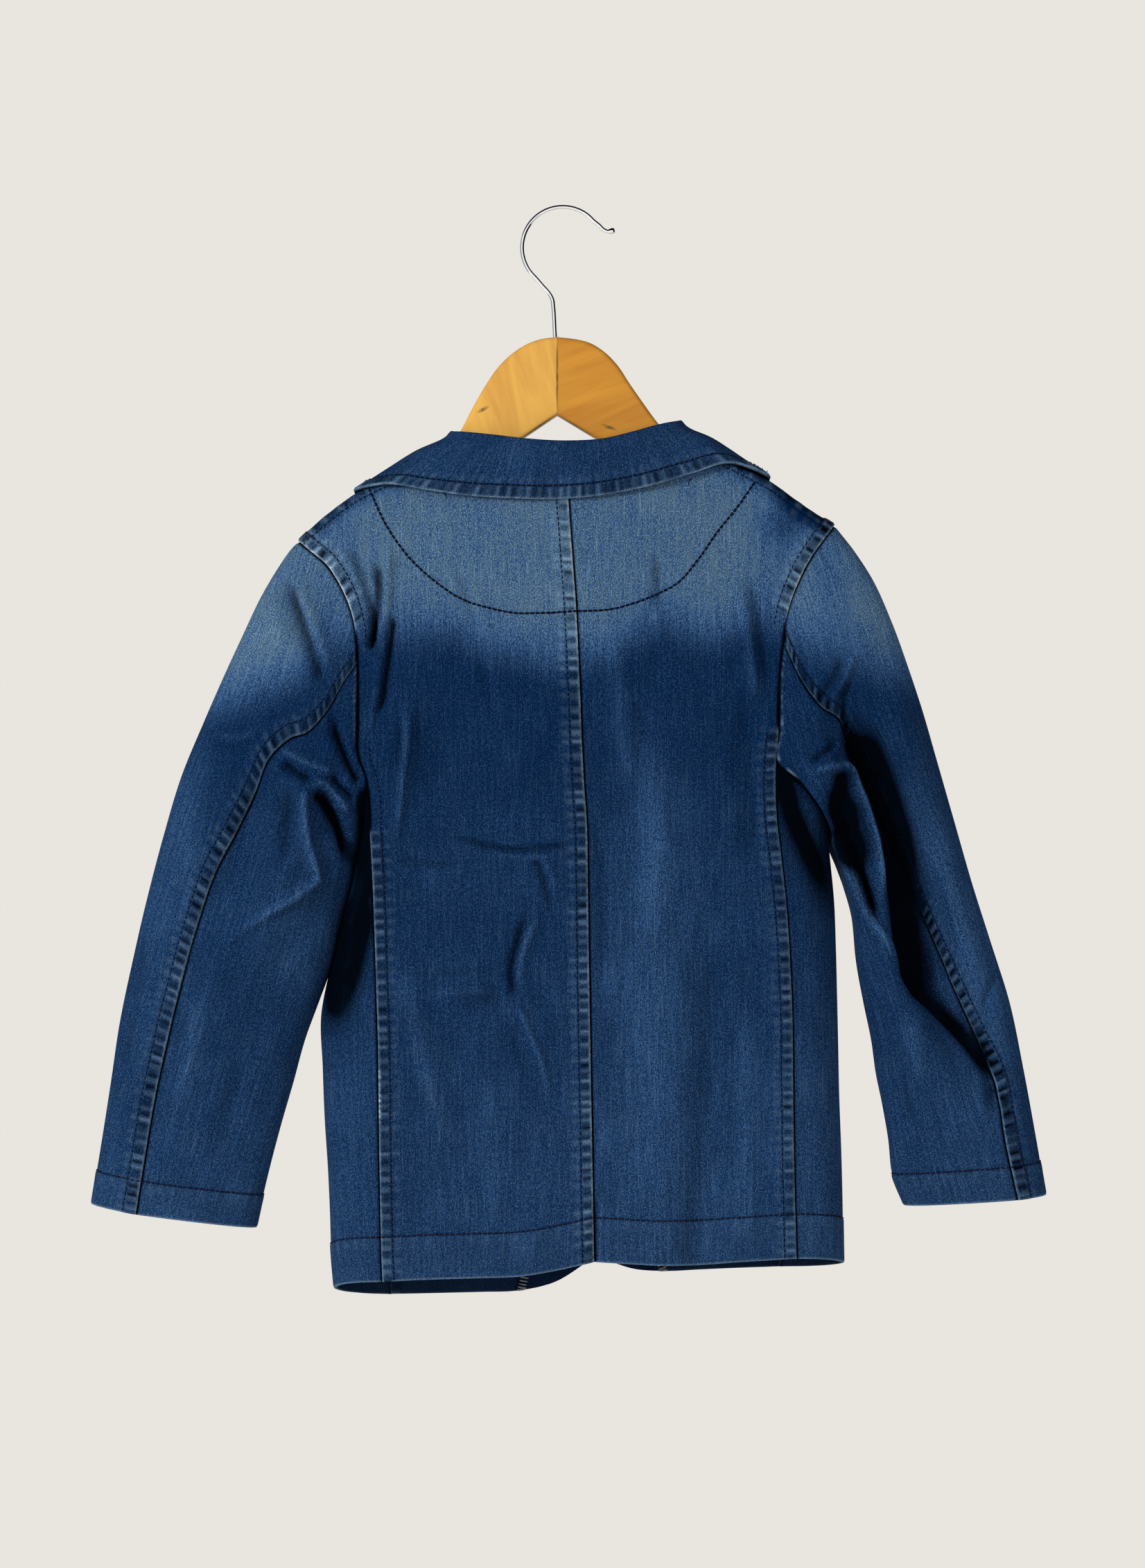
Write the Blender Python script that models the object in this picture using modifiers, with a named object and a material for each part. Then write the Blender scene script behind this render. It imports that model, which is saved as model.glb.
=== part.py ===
"""A child's stretch-denim blazer on a wooden hanger, seen and hung by its hook.

Lengths are in millimetres until a mesh is made; the model itself is in metres.
The origin is the inside of the hook's crown, where a rail or a nail carries it.
+Z is up, -Y is the blazer's back, and +X is the right of someone looking at its back.
"""
import math

import bmesh
import bpy
from mathutils import Vector

MM = 0.001
CLOTH_WALL = 1.2            # denim with its turned allowances
FACING_WALL = 1.0
COLLAR_WALL = 1.5           # two layers
SEAM_GAP = 0.3              # left between neighbouring pieces
NECK_Z = -150.0             # back neck seam on the centre line
BREAK_Z = -335.0            # where the lapels start to turn back
FRONT_MIDDLE_X = 22.0       # line of the buttons
FRONT_LAP = 16.0            # each front passes the button line by this
LAP_RAMP = 35.0             # the lap's step in depth fades out over this
LEFT_FRONT_OUT = 2.0        # the left front lies over the right one
RIGHT_FRONT_IN = 1.0
HEM_RISE_Z = -592.0         # the rounded front corners start here
BACK_HEM_X = 20.5           # centre back seam at the hem
BACK_BREAK_Z = -320.0       # centre back point level with the underarms

# Steps down the armhole from the shoulder point, as shares of its depth. The shoulder's
# slope is felt in full down to SHOULDER_STEP.
ARMHOLE_STEPS = (0.0, 0.008, 0.037, 0.095, 0.16, 0.24, 0.335, 0.42, 0.5, 0.615, 0.745, 0.875, 1.0)
SHOULDER_STEP = 3
SLEEVE_SEAM_STEP = 8        # the sleeve's seams meet the armhole here
UNDERARM_STEP = len(ARMHOLE_STEPS) - 1
SIDE_COLUMNS = 6            # columns of a side panel, round the body's side
UNDERARM_MIDDLE = UNDERARM_STEP + SIDE_COLUMNS // 2
# Steps from the underarm to the hem
BODY_STEPS = (0.1, 0.2, 0.31, 0.42, 0.53, 0.64, 0.75, 0.85, 0.93, 1.0)
# Columns along a shoulder seam, from the neck to the shoulder point
SHOULDER_COLUMNS = (0.0, 0.2, 0.39, 0.55, 0.7, 0.85, 1.0)
FACING_COLUMNS = 3
# Back neck curve: share of the way from the centre to the neck point, share of the rise.
# The last step, up over the hanger's arm to the neck point itself, is NECK_STEP high.
NECK_CURVE = ((0.0, 0.0), (0.35, 0.1), (0.7, 0.45), (0.99, 1.0), (1.0, 1.0))
NECK_STEP = 5.6
HEM_CURVE_POWER = 3         # the hem's curve fades out fast above it
DROP_FADE_POWER = 1.5       # the armpit's drop fades out down the side panel
DROP_ROUND_POWER = 1.2
UNDERARM_HOLLOW = 0.4       # how far the side panel is pressed flat under the sleeve
SLEEVE_HEAD_FULLNESS = 0.25
UNDERARM_CROWDING = 0.5     # sleeve columns gather towards the armpit by this

# Swell of the body behind and before the shoulder ridge: (drop below ridge, swell)
BODY_SWELL = ((0, 0), (1, 4.8), (5, 8.2), (13, 9.6), (25, 11), (45, 13.2), (80, 16.5),
              (140, 20), (300, 23), (480, 22))
# Height of the shoulder ridge: (x, z); between the neck points it is only a guide
RIDGE = ((-146, -187), (-137, -178), (-125, -168.3), (-114, -160.5), (-90, -148.5),
         (-68, -139), (-40, -124), (3, -104), (45, -118), (74, -132), (95, -141),
         (119, -153), (127, -158.6), (140, -168.4), (156, -178))
# Centre back seam: (z, x)
CENTRE_BACK = ((-592, BACK_HEM_X), (-474, 18.4), (-411, 17.4), (-349, 16.6), (-311, 14),
               (-267, 12.4), (-226, 10.5), (-192, 8), (-150, 5))

# One entry a side. armhole, side_seam, outline and front_edge are (z, x) from the bottom up.
# hem_back and hem_front are (x, z). underarm is the armpit's drop below the side seam's top.
LEFT = {
    "name": "left",
    "neck_point": (-74, -141.53),
    "shoulder_point": (-146, -187),
    "underarm_z": -324,
    "underarm_drop": 26,
    "armhole": ((-324, -107), (-308, -112), (-275, -112), (-247, -112.6), (-232, -114.5),
                (-217, -119.5), (-202, -128), (-187, -146)),
    "side_seam": ((-611, -97.7), (-577, -99), (-518, -100), (-474, -100.4), (-421, -102),
                  (-368, -104), (-324, -107)),
    "front_seam_shift": 3.0,
    "outline": ((-609, -126), (-590, -127.7), (-551, -129), (-511, -131.6), (-472, -133),
                (-453, -133.3), (-440, -131), (-425, -126.6), (-398, -120.2), (-374, -114.4),
                (-350, -109.2)),
    "side_hem_back": -603.0,
    "side_hem_front": -611.5,
    "hem_back": ((-98, -603), (-79, -602), (-46, -601), (-21, -600), (-2, -597), (10, -594),
                 (BACK_HEM_X, -592)),
    "hem_front": ((-98, -611.5), (-46, -610), (-22, -608), (-8, -606), (4, -602.5), (16, -597),
                  (22, -592)),
    "front_edge": ((-592, 22), (-578, 30), (-560, 35), (-520, 38), (-350, 38), (-335, 34),
                   (-141.53, -74)),
    "lap": LEFT_FRONT_OUT,
}
RIGHT = {
    "name": "right",
    "neck_point": (80, -134.57),
    "shoulder_point": (156, -178),
    "underarm_z": -311,
    "underarm_drop": 31,
    "armhole": ((-311, 122.5), (-293, 124), (-265, 124.5), (-247, 127), (-242, 127),
                (-227, 129), (-211, 135), (-196, 142.5), (-178, 156)),
    "side_seam": ((-597, 134), (-549, 132.8), (-506, 132), (-461, 131.7), (-424, 130.4),
                  (-386, 128), (-343, 122.6), (-311, 122.5)),
    "front_seam_shift": -7.0,
    "outline": ((-594, 161.4), (-541, 160.5), (-502, 159), (-453, 158), (-413, 157),
                (-377, 155.5), (-370, 154), (-353, 153), (-342, 151.5)),
    "side_hem_back": -590.0,
    "side_hem_front": -596.0,
    "hem_back": ((BACK_HEM_X, -592), (38, -593), (58, -594), (79, -594), (102, -592), (134, -590)),
    "hem_front": ((22, -592), (33, -596), (44, -598), (58, -599), (102, -597), (134, -596)),
    "front_edge": ((-592, 22), (-578, 14), (-560, 9), (-520, 6), (-350, 6), (-335, 10),
                   (-134.57, 80)),
    "lap": -RIGHT_FRONT_IN,
}

# Sleeve sections below the armhole. Columns: outer x, z; inner x, z; back seam x, z;
# half depth; how much of the armhole's own curve is still felt there.
LEFT_SLEEVE = (
    (-150, -191, -110, -353, -119.5, -266, 13, 0.86),
    (-157, -201, -111.5, -358, -128, -281, 15, 0.7),
    (-167, -218, -113.5, -364, -139, -294, 17, 0.55),
    (-178, -241, -116, -373, -150, -298.5, 18, 0.4),
    (-189.5, -266, -118, -384, -162, -310.3, 20, 0.27),
    (-200, -290, -120.5, -393, -169.5, -328.4, 21, 0.16),
    (-212, -319, -124, -405, -179.7, -349.6, 22, 0.08),
    (-222, -352, -128, -425, -192.5, -374.5, 22, 0.03),
    (-231.5, -388, -135.5, -448, -203, -405.4, 21, 0),
    (-239, -420, -142.5, -468, -210.7, -434, 20, 0),
    (-247, -458, -149, -492, -219, -467.8, 19, 0),
    (-252.5, -495, -156.5, -518, -226.3, -501.3, 18, 0),
    (-258, -530, -164, -547, -232, -534.7, 17, 0),
    (-263, -560.5, -170, -574, -237, -566, 16, 0),
)
RIGHT_SLEEVE = (
    (160, -183, 154.5, -346, 135.5, -263, 13, 0.86),
    (167, -192, 156.5, -353, 146.5, -279, 15, 0.7),
    (177, -207.5, 158, -362, 158, -287, 17, 0.55),
    (188.5, -233, 160, -376, 168.5, -308, 18, 0.4),
    (197.5, -258, 163.5, -388, 178, -334, 20, 0.27),
    (205.5, -282, 166.8, -402, 184.5, -352, 21, 0.16),
    (214, -311, 168.5, -424, 191, -368.5, 22, 0.08),
    (223.5, -344, 172.5, -447, 200.5, -390.5, 22, 0.03),
    (234, -380.5, 177, -469, 212, -415, 21, 0),
    (244, -412, 179.5, -487, 222.3, -437.4, 20, 0),
    (255, -447, 183, -504, 234, -463.6, 19, 0),
    (262.5, -483, 186.5, -524, 246, -492, 18, 0),
    (269.5, -521, 189, -545, 252, -526, 17, 0),
    (275.5, -555.5, 195.5, -561.5, 259, -558, 16, 0),
)
SLEEVE_ROUNDNESS = 2.3      # 2 is an ellipse, more is flatter and squarer
FRONT_SEAM_SHARE = 0.62     # place of the hidden sleeve seam across the far face

# Largest folds: path of (x, z), reach to each side, lift off the form (minus is a hollow)
BACK_FOLDS = (
    (((-60, -240), (-50, -300), (-38, -400)), 22, -1.5),
    (((-40, -430), (-32, -520), (-20, -600)), 20, 2.0),
    (((36, -350), (44, -470), (40, -560)), 20, -2.0),
    (((78, -380), (84, -480), (82, -595)), 20, -2.5),
    (((60, -420), (62, -595)), 18, 1.5),
)
LEFT_SLEEVE_FOLDS = (
    (((-167, -323), (-188, -365), (-206, -412)), 12, -3.0),
    (((-140, -325), (-142, -350), (-150, -378)), 11, 5.0),
    (((-150, -378), (-176, -405), (-200, -450)), 14, 2.0),
)
RIGHT_SLEEVE_FOLDS = (
    (((166, -292), (180, -345), (196, -398), (216, -440), (236, -478)), 13, -13.0),
    (((158, -318), (174, -338), (180, -375), (186, -410), (194, -450)), 9, 4.0),
)

# Collar stations from the left gorge round the neck to the right gorge.
# Columns: distance along the neck seam from the centre back; fold x, y, z; outer edge x, y, z
COLLAR_STATIONS = (
    (-131.0, -46.0, 20.5, -172.5, -97.0, 20.5, -189.0),
    (-114.0, -50.5, 17.0, -157.0, -107.0, 17.5, -177.0),
    (-101.0, -55.5, 12.5, -143.0, -112.5, 12.5, -166.5),
    (-91.0, -59.5, 6.5, -130.5, -114.8, 6.0, -159.5),
    (-84.8, -60.5, -1.0, -125.6, -114.0, -2.5, -157.6),
    (-76.0, -57.0, -8.0, -125.4, -97.0, -14.2, -155.2),
    (-63.0, -47.0, -12.4, -126.3, -76.0, -16.6, -158.4),
    (-45.0, -34.0, -14.6, -127.8, -53.0, -17.8, -161.8),
    (-22.0, -17.0, -15.6, -129.8, -26.0, -18.2, -163.6),
    (0.0, 4.0, -15.8, -131.0, 1.0, -18.4, -164.0),
    (21.0, 25.0, -15.4, -129.8, 28.0, -18.0, -161.4),
    (43.0, 42.0, -14.2, -125.8, 54.0, -17.2, -156.0),
    (60.0, 56.0, -11.6, -121.8, 76.0, -16.0, -149.4),
    (73.0, 66.0, -7.4, -119.6, 99.0, -13.6, -143.4),
    (82.0, 70.0, -1.0, -119.4, 119.0, -2.5, -149.8),
    (88.5, 69.0, 6.5, -123.5, 120.0, 6.0, -151.8),
    (99.0, 64.5, 12.5, -136.0, 117.5, 12.5, -159.0),
    (113.0, 60.0, 17.0, -152.0, 111.5, 17.5, -171.0),
    (129.0, 55.0, 20.5, -168.5, 101.0, 20.5, -184.0),
)
COLLAR_FOLD_HALF = 2.6      # half the thickness of the soft fold
COLLAR_STAND_IN = 0.6       # the stand starts this share of it behind the fold
COLLAR_BOW = 2.0            # how far the fall bows out between fold and edge
COLLAR_FRONT_BOW = 0.6      # where the fall hangs steeply
COLLAR_FALL = ((0.35, 1.0), (0.7, 0.6))     # share of the fall, share of the bow
COLLAR_SEAM_RISE = 1.1
UP = Vector((0, 0, 1))

# Lapels: roll line ends and the point of the notch, all (x, z)
LAPEL_LIFT = 2.2
LAPEL_SHARES = (0.0, 0.12, 0.3, 0.5, 0.7, 0.86, 1.0)
LAPEL_ACROSS = (0.0, 0.35, 0.7, 1.0)        # from the roll line to the outer edge
LEFT_LAPEL = {"top_z": -178.0, "end_z": -333.0, "point": (-88, -199)}
RIGHT_LAPEL = {"top_z": -174.0, "end_z": -305.0, "point": (96, -195)}

# Wooden hanger in two halves
WOOD_THICK = 12.0
WOOD_ROUND = 4.4
WOOD_SEAM_X = -0.2
WOOD_DROP = 2.4             # top of the arms below the cloth's ridge
# Outline of each half: dome, where the arm meets the ridge, then its tip and underside
WOOD_LEFT = {
    "dome": ((-0.35, -72), (-9, -73), (-18, -76.3), (-26.5, -82), (-34, -89.5), (-40.5, -99),
             (-48, -112), (-54.5, -124.5), (-60.5, -134), (-66, -141), (-72, -144.6)),
    "arm_x": (-79, -90, -114, -125, -130),
    "below": ((-133, -184), (-126, -189), (-110, -183), (-56, -152), (-20.4, -129.8),
              (-0.35, -116.2)),
}
WOOD_RIGHT = {
    "dome": ((-0.05, -72), (9, -73), (17.6, -75), (26, -80), (33.5, -87.5), (40.5, -98),
             (48.5, -109.5), (56, -119.8), (63.5, -128.5), (70, -135), (77.5, -137.8)),
    "arm_x": (85, 95, 119, 127, 133),
    "below": ((137, -174), (131, -180), (115, -175), (60, -147), (20.7, -128.8),
              (-0.05, -116.2)),
}

HOOK_WIRE = 2.4
HOOK_CENTRE = (1.5, -21.7)
HOOK_RADIUS = 22.9
HOOK_CROWN = (43.0, 216.0)  # the round part starts and ends at these angles
HOOK_CROWN_STEPS = 14
HOOK_STEM_X = -0.9
HOOK_STEM_END_Z = -98.0
# Free end with its ball, and the bend into the stem: (x, z, share of the wire's width)
HOOK_TIP = ((31.6, -12.6, 1.1), (30.6, -12.8, 1.5), (29.3, -12.6, 1.35), (28.2, -12.2, 1.0),
            (24.4, -9.9, 1.0))
HOOK_BEND = ((-9.0, -43.3, 1.0), (-3.4, -49.0, 1.0), (-1.6, -51.6, 1.0),
             (HOOK_STEM_X, -55.0, 1.0), (HOOK_STEM_X, HOOK_STEM_END_Z, 1.0))
BORE_TOP_Z = -60.0
BORE_BELOW_STEM = 0.5
BORE_CLEARANCE = 0.3

BUTTON_DIAMETER = 16.0
BUTTON_THICK = 2.6
BUTTON_WELL = 0.8           # depth of the middle below the rim
BUTTON_RIM = (2.2, 0.8)     # the rim's slope starts and ends this far from the edge
BUTTON_FOOT = (1.2, 0.9)    # the underside's bevel: width, height
BUTTON_EDGE = 0.5
BUTTON_TURNS = 16
BUTTON_Z = {"button_upper": -366.0, "button_lower": -446.0}


def at(table, key):
    """Straight-line value of a two-column table, held flat past its ends."""
    if key <= table[0][0]:
        return table[0][1]
    for (k0, v0), (k1, v1) in zip(table, table[1:]):
        if key <= k1:
            return v0 + (v1 - v0) * (key - k0) / (k1 - k0)
    return table[-1][1]


def mix(a, b, share):
    return a + (b - a) * share


def path_distance(x, z, path):
    """Distance in the plan of the garment from a point to a path of (x, z)."""
    nearest = 1e9
    for (x0, z0), (x1, z1) in zip(path, path[1:]):
        run_x, run_z = x1 - x0, z1 - z0
        along = ((x - x0) * run_x + (z - z0) * run_z) / (run_x ** 2 + run_z ** 2)
        along = min(1.0, max(0.0, along))
        nearest = min(nearest, math.hypot(x - x0 - along * run_x, z - z0 - along * run_z))
    return nearest


def fold_lift(x, z, folds):
    return sum(lift * math.exp(-(path_distance(x, z, path) / reach) ** 2)
               for path, reach, lift in folds)


def swell(x, z):
    return at(BODY_SWELL, at(RIDGE, x) - z)


def back_y(x, z):
    return -swell(x, z) - fold_lift(x, z, BACK_FOLDS)


def front_y(x, z, side):
    """Front of the body; near the button line one front is lifted over the other."""
    toward_edge = FRONT_LAP + LAP_RAMP - abs(x - FRONT_MIDDLE_X)
    return swell(x, z) + side["lap"] * min(1.0, max(0.0, toward_edge / LAP_RAMP))


def row_places(side):
    """Outer edge of back and front, row by row: (x, z) down the armhole and the side seam."""
    top = side["shoulder_point"][1]
    depth = side["underarm_z"] - top
    places = [(at(side["armhole"], top + depth * step), top + depth * step)
              for step in ARMHOLE_STEPS]
    for step in BODY_STEPS:
        z = mix(side["underarm_z"], side["side_hem_back"], step)
        places.append((at(side["side_seam"], z), z))
    return places


def inner_rows(top_z, break_z, end_z):
    """Heights along the centre edge that pair with row_places."""
    upper = [mix(top_z, break_z, step) for step in ARMHOLE_STEPS]
    return upper + [mix(break_z, end_z, step) for step in BODY_STEPS]


def edge_bend(top_bend, hem_bend, row, rows):
    """Pull a straight row towards the top edge near row 0 and the hem near the last row."""
    if row <= UNDERARM_STEP:
        start = ARMHOLE_STEPS[SHOULDER_STEP]
        return top_bend * (1 - max(0.0, (ARMHOLE_STEPS[row] - start) / (1 - start)))
    return hem_bend * ((row - UNDERARM_STEP) / (rows - 1 - UNDERARM_STEP)) ** HEM_CURVE_POWER


def back_panel(side):
    outer = row_places(side)
    inner_z = inner_rows(NECK_Z, BACK_BREAK_Z, at(side["hem_back"], BACK_HEM_X))
    neck_x, neck_z = side["neck_point"]
    first_x = at(CENTRE_BACK, NECK_Z)
    last_x = side["shoulder_point"][0]
    neck_share = (neck_x - first_x) / (last_x - first_x)
    shares = [neck_share * c for c, rise in NECK_CURVE[:-1]]
    shares += [mix(neck_share, 1.0, c) for c in SHOULDER_COLUMNS]
    rows = len(outer)
    grid = []
    for row, ((edge_x, edge_z), centre_z) in enumerate(zip(outer, inner_z)):
        centre_x = at(CENTRE_BACK, centre_z)
        line = []
        for share in shares:
            x = mix(centre_x, edge_x, share)
            top_x = mix(first_x, last_x, share)
            if share < neck_share - 1e-6:
                top_z = mix(NECK_Z, neck_z - NECK_STEP, at(NECK_CURVE, share / neck_share))
            else:
                top_z = at(RIDGE, top_x)
            top_bend = top_z - mix(NECK_Z, side["shoulder_point"][1], share)
            hem_x = mix(at(CENTRE_BACK, inner_z[-1]), outer[-1][0], share)
            hem_bend = at(side["hem_back"], hem_x) - mix(inner_z[-1], outer[-1][1], share)
            z = mix(centre_z, edge_z, share) + edge_bend(top_bend, hem_bend, row, rows)
            line.append(Vector((x, back_y(x, z), z)))
        grid.append(line)
    return grid


def front_panel(side):
    outer = row_places(side)
    neck_x, neck_z = side["neck_point"]
    inner_z = inner_rows(neck_z, BREAK_Z, HEM_RISE_Z)
    rows = len(outer)
    hem_edge_x = outer[-1][0] + side["front_seam_shift"]
    grid = []
    for row, ((edge_x, edge_z), centre_z) in enumerate(zip(outer, inner_z)):
        down = max(0.0, (row - UNDERARM_STEP) / (rows - 1 - UNDERARM_STEP))
        edge_x += side["front_seam_shift"] * down
        edge_z += (side["side_hem_front"] - side["side_hem_back"]) * down
        centre_x = at(side["front_edge"], centre_z)
        line = []
        for share in SHOULDER_COLUMNS:
            x = mix(centre_x, edge_x, share)
            top_x = mix(neck_x, side["shoulder_point"][0], share)
            top_bend = at(RIDGE, top_x) - mix(neck_z, side["shoulder_point"][1], share)
            hem_x = mix(at(side["front_edge"], HEM_RISE_Z), hem_edge_x, share)
            hem_line = mix(HEM_RISE_Z, side["side_hem_front"], share)
            hem_bend = at(side["hem_front"], hem_x) - hem_line
            z = mix(centre_z, edge_z, share) + edge_bend(top_bend, hem_bend, row, rows)
            line.append(Vector((x, front_y(x, z, side), z)))
        grid.append(line)
    return grid


def side_panel(side, back, front):
    """Wraps round the body's side from the back panel's edge to the front panel's edge."""
    grid = []
    rows = len(back) - 1 - UNDERARM_STEP
    for row in range(UNDERARM_STEP, len(back)):
        start, end = back[row][-1], front[row][-1]
        down = (row - UNDERARM_STEP) / rows
        line = []
        for column in range(SIDE_COLUMNS + 1):
            turn = math.pi * column / SIDE_COLUMNS
            across = (1 - math.cos(turn)) / 2
            bulge = max(0.0, math.sin(turn))
            drop = side["underarm_drop"] * (1 - down) ** DROP_FADE_POWER
            drop *= bulge ** DROP_ROUND_POWER
            z = mix(start.z, end.z, across) - drop
            seam_x = mix(start.x, end.x, across)
            x = mix(seam_x, at(side["outline"], z), bulge)
            hollow = UNDERARM_HOLLOW * bulge * (1 - down) ** 2 if down > 0 else 0
            line.append(Vector((x, mix(start.y, end.y, across) * (1 - hollow), z)))
        grid.append(line)
    return grid


def armhole_loop(back, side_cloth, front):
    """The seam that the sleeve joins, from the shoulder point round by the back."""
    loop = [back[row][-1] for row in range(UNDERARM_STEP + 1)]
    loop += side_cloth[0][1:-1]
    loop += [front[row][-1] for row in range(UNDERARM_STEP, 0, -1)]
    return loop


def sleeve_ring(arcs, section, folds):
    """One plain section of the sleeve, through its outline points and its back seam."""
    outer = Vector((section[0], 0, section[1]))
    inner = Vector((section[2], 0, section[3]))
    seam = Vector((section[4], 0, section[5]))
    half_depth, felt = section[6:8]
    across = inner - outer
    seam_share = (seam - outer).dot(across) / across.length_squared
    lean = seam - (outer + across * seam_share)
    count = len(arcs) - 1
    gather = 1 / (1 + UNDERARM_CROWDING * felt)
    ring = []
    for index in range(count):
        near = index <= UNDERARM_MIDDLE
        reached = [arcs[index], arcs[SLEEVE_SEAM_STEP], arcs[UNDERARM_MIDDLE]]
        if not near:
            reached = [arcs[-1] - arcs[i]
                       for i in (index, count - SLEEVE_SEAM_STEP, UNDERARM_MIDDLE)]
        arc, arc_at_seam, arc_at_pit = reached
        turn_at_seam = math.acos(1 - 2 * (seam_share if near else FRONT_SEAM_SHARE))
        if arc <= arc_at_seam:
            part = arc / arc_at_seam
            turn = turn_at_seam * part
        else:
            part = ((arc_at_pit - arc) / (arc_at_pit - arc_at_seam)) ** gather
            turn = math.pi - (math.pi - turn_at_seam) * part
        point = outer + across * ((1 - math.cos(turn)) / 2)
        rounding = max(0.0, math.sin(turn)) ** (2 / SLEEVE_ROUNDNESS)
        if near:
            point += lean * part
            depth = half_depth + fold_lift(point.x, point.z, folds)
            point.y = -depth * rounding
        else:
            point.y = half_depth * rounding
        ring.append(point)
    return ring


def sleeve_rings(loop, sections, folds):
    """Rings from the armhole to the cuff; the armhole's own curve fades out down the sleeve."""
    arcs = [0.0]
    for here, there in zip(loop, loop[1:] + loop[:1]):
        arcs.append(arcs[-1] + (there - here).length)
    pit, seam = loop[UNDERARM_MIDDLE], loop[SLEEVE_SEAM_STEP]
    first = (loop[0].x, loop[0].z, pit.x, pit.z, seam.x, seam.z, sections[0][6], 0)
    plain = sleeve_ring(arcs, first, ())
    own_curve = [point - base for point, base in zip(loop, plain)]
    rings = [list(loop)]
    for section in sections:
        felt = section[7]
        ring = [point + curve * felt
                for point, curve in zip(sleeve_ring(arcs, section, folds), own_curve)]
        for point in ring:
            point.y *= 1 + SLEEVE_HEAD_FULLNESS * 4 * felt * (1 - felt)
        rings.append(ring)
    return rings


def split_sleeve(rings):
    """Upper and under sleeve, cut along the two lengthwise seams."""
    count = len(rings[0])
    back_seam, front_seam = SLEEVE_SEAM_STEP, count - SLEEVE_SEAM_STEP
    over = [index % count for index in range(front_seam, count + back_seam + 1)]
    under = list(range(back_seam, front_seam + 1))
    return ([[ring[i] for i in over] for ring in rings],
            [[ring[i] for i in under] for ring in rings])


def neck_line(back, front):
    """Neck seam of one side: the back neck, then down the roll line."""
    return back[0][:len(NECK_CURVE)] + [line[0] for line in front[1:UNDERARM_STEP]]


def along(points, distance):
    """The place a given distance along a run of points."""
    left = distance
    for here, there in zip(points, points[1:]):
        step = (there - here).length
        if left <= step:
            return here.lerp(there, left / step)
        left -= step
    return points[-1].copy()


def collar_grid(neck):
    """Stand, fold and fall, station by station round the neck."""
    grid = []
    for distance, *values in COLLAR_STATIONS:
        line = neck["left"] if distance < 0 else neck["right"]
        fold, edge = Vector(values[:3]), Vector(values[3:])
        seam = along(line, abs(distance))
        seam += (fold - seam).normalized() * COLLAR_SEAM_RISE
        outward = Vector((edge.x - seam.x, edge.y - seam.y, 0)).normalized()
        inner_fold = fold - (outward * COLLAR_STAND_IN + UP) * COLLAR_FOLD_HALF
        outer_fold = fold + (outward - UP) * COLLAR_FOLD_HALF
        fall = edge - outer_fold
        lies_flat = abs(fall.z) < abs(fall.x)
        bow = UP * COLLAR_BOW if lies_flat else outward * COLLAR_FRONT_BOW
        line = [seam, seam.lerp(inner_fold, 0.5), inner_fold, fold, outer_fold]
        line += [outer_fold + fall * share + bow * bowed for share, bowed in COLLAR_FALL]
        grid.append(line + [edge])
    return grid


def lapel_grid(side, lapel):
    """Revers turned back along the roll line, lying on the front."""
    grid = []
    roll_top = Vector((at(side["front_edge"], lapel["top_z"]), 0, lapel["top_z"]))
    roll_end = Vector((at(side["front_edge"], lapel["end_z"]), 0, lapel["end_z"]))
    point = Vector((lapel["point"][0], 0, lapel["point"][1]))
    for share in LAPEL_SHARES:
        roll = roll_top.lerp(roll_end, share)
        edge = point.lerp(roll_end, share)
        line = []
        for across in LAPEL_ACROSS:
            place = roll.lerp(edge, across)
            turned = min(1.0, across / LAPEL_ACROSS[1])
            lift = mix(LAPEL_LIFT / 2, LAPEL_LIFT + CLOTH_WALL, turned)
            place.y = front_y(place.x, place.z, side) + SEAM_GAP + lift
            line.append(place)
        grid.append(line)
    return grid


def grid_normals(grids):
    """Mean outward normal at each point, shared by the pieces that meet there."""
    sums = {}
    for grid in grids:
        for upper, lower in zip(grid, grid[1:]):
            for a, b, c, d in zip(upper, upper[1:], lower[1:], lower):
                normal = (c - a).cross(b - d).normalized()
                for point in (a, b, c, d):
                    key = tuple(round(v, 2) for v in point)
                    sums[key] = sums.get(key, Vector((0, 0, 0))) + normal
    return {key: value.normalized() for key, value in sums.items()}


def normal_at(normals, point):
    return normals[tuple(round(v, 2) for v in point)]


def offset_grid(grid, normals, distance):
    return [[point + normal_at(normals, point) * distance for point in line] for line in grid]


def drawn_in(grid, row, column, amount):
    """A grid point, moved off its piece's edges by half a seam gap."""
    point = grid[row][column].copy()
    last_row, last_column = len(grid) - 1, len(grid[0]) - 1
    for at_edge, other in ((row == 0, (row + 1, column)), (row == last_row, (row - 1, column)),
                           (column == 0, (row, column + 1)),
                           (column == last_column, (row, column - 1))):
        if at_edge:
            step = grid[other[0]][other[1]] - grid[row][column]
            if step.length > 1e-6:
                point += step.normalized() * amount
    return point


def material(name, colour, roughness, metallic=0.0):
    made = bpy.data.materials.new(name)
    made.use_nodes = True
    shader = made.node_tree.nodes["Principled BSDF"]
    shader.inputs["Base Color"].default_value = (*colour, 1.0)
    shader.inputs["Roughness"].default_value = roughness
    shader.inputs["Metallic"].default_value = metallic
    return made


def add_object(name, data, finish, collection):
    made = bpy.data.objects.new(name, data)
    collection.objects.link(made)
    made.data.materials.append(finish)
    return made


def rim_of(lines):
    """The grid's border, once round."""
    rim = list(lines[0])
    rim += [line[-1] for line in lines[1:]]
    rim += reversed(lines[-1][:-1])
    rim += [line[0] for line in reversed(lines[1:-1])]
    return rim


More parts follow.
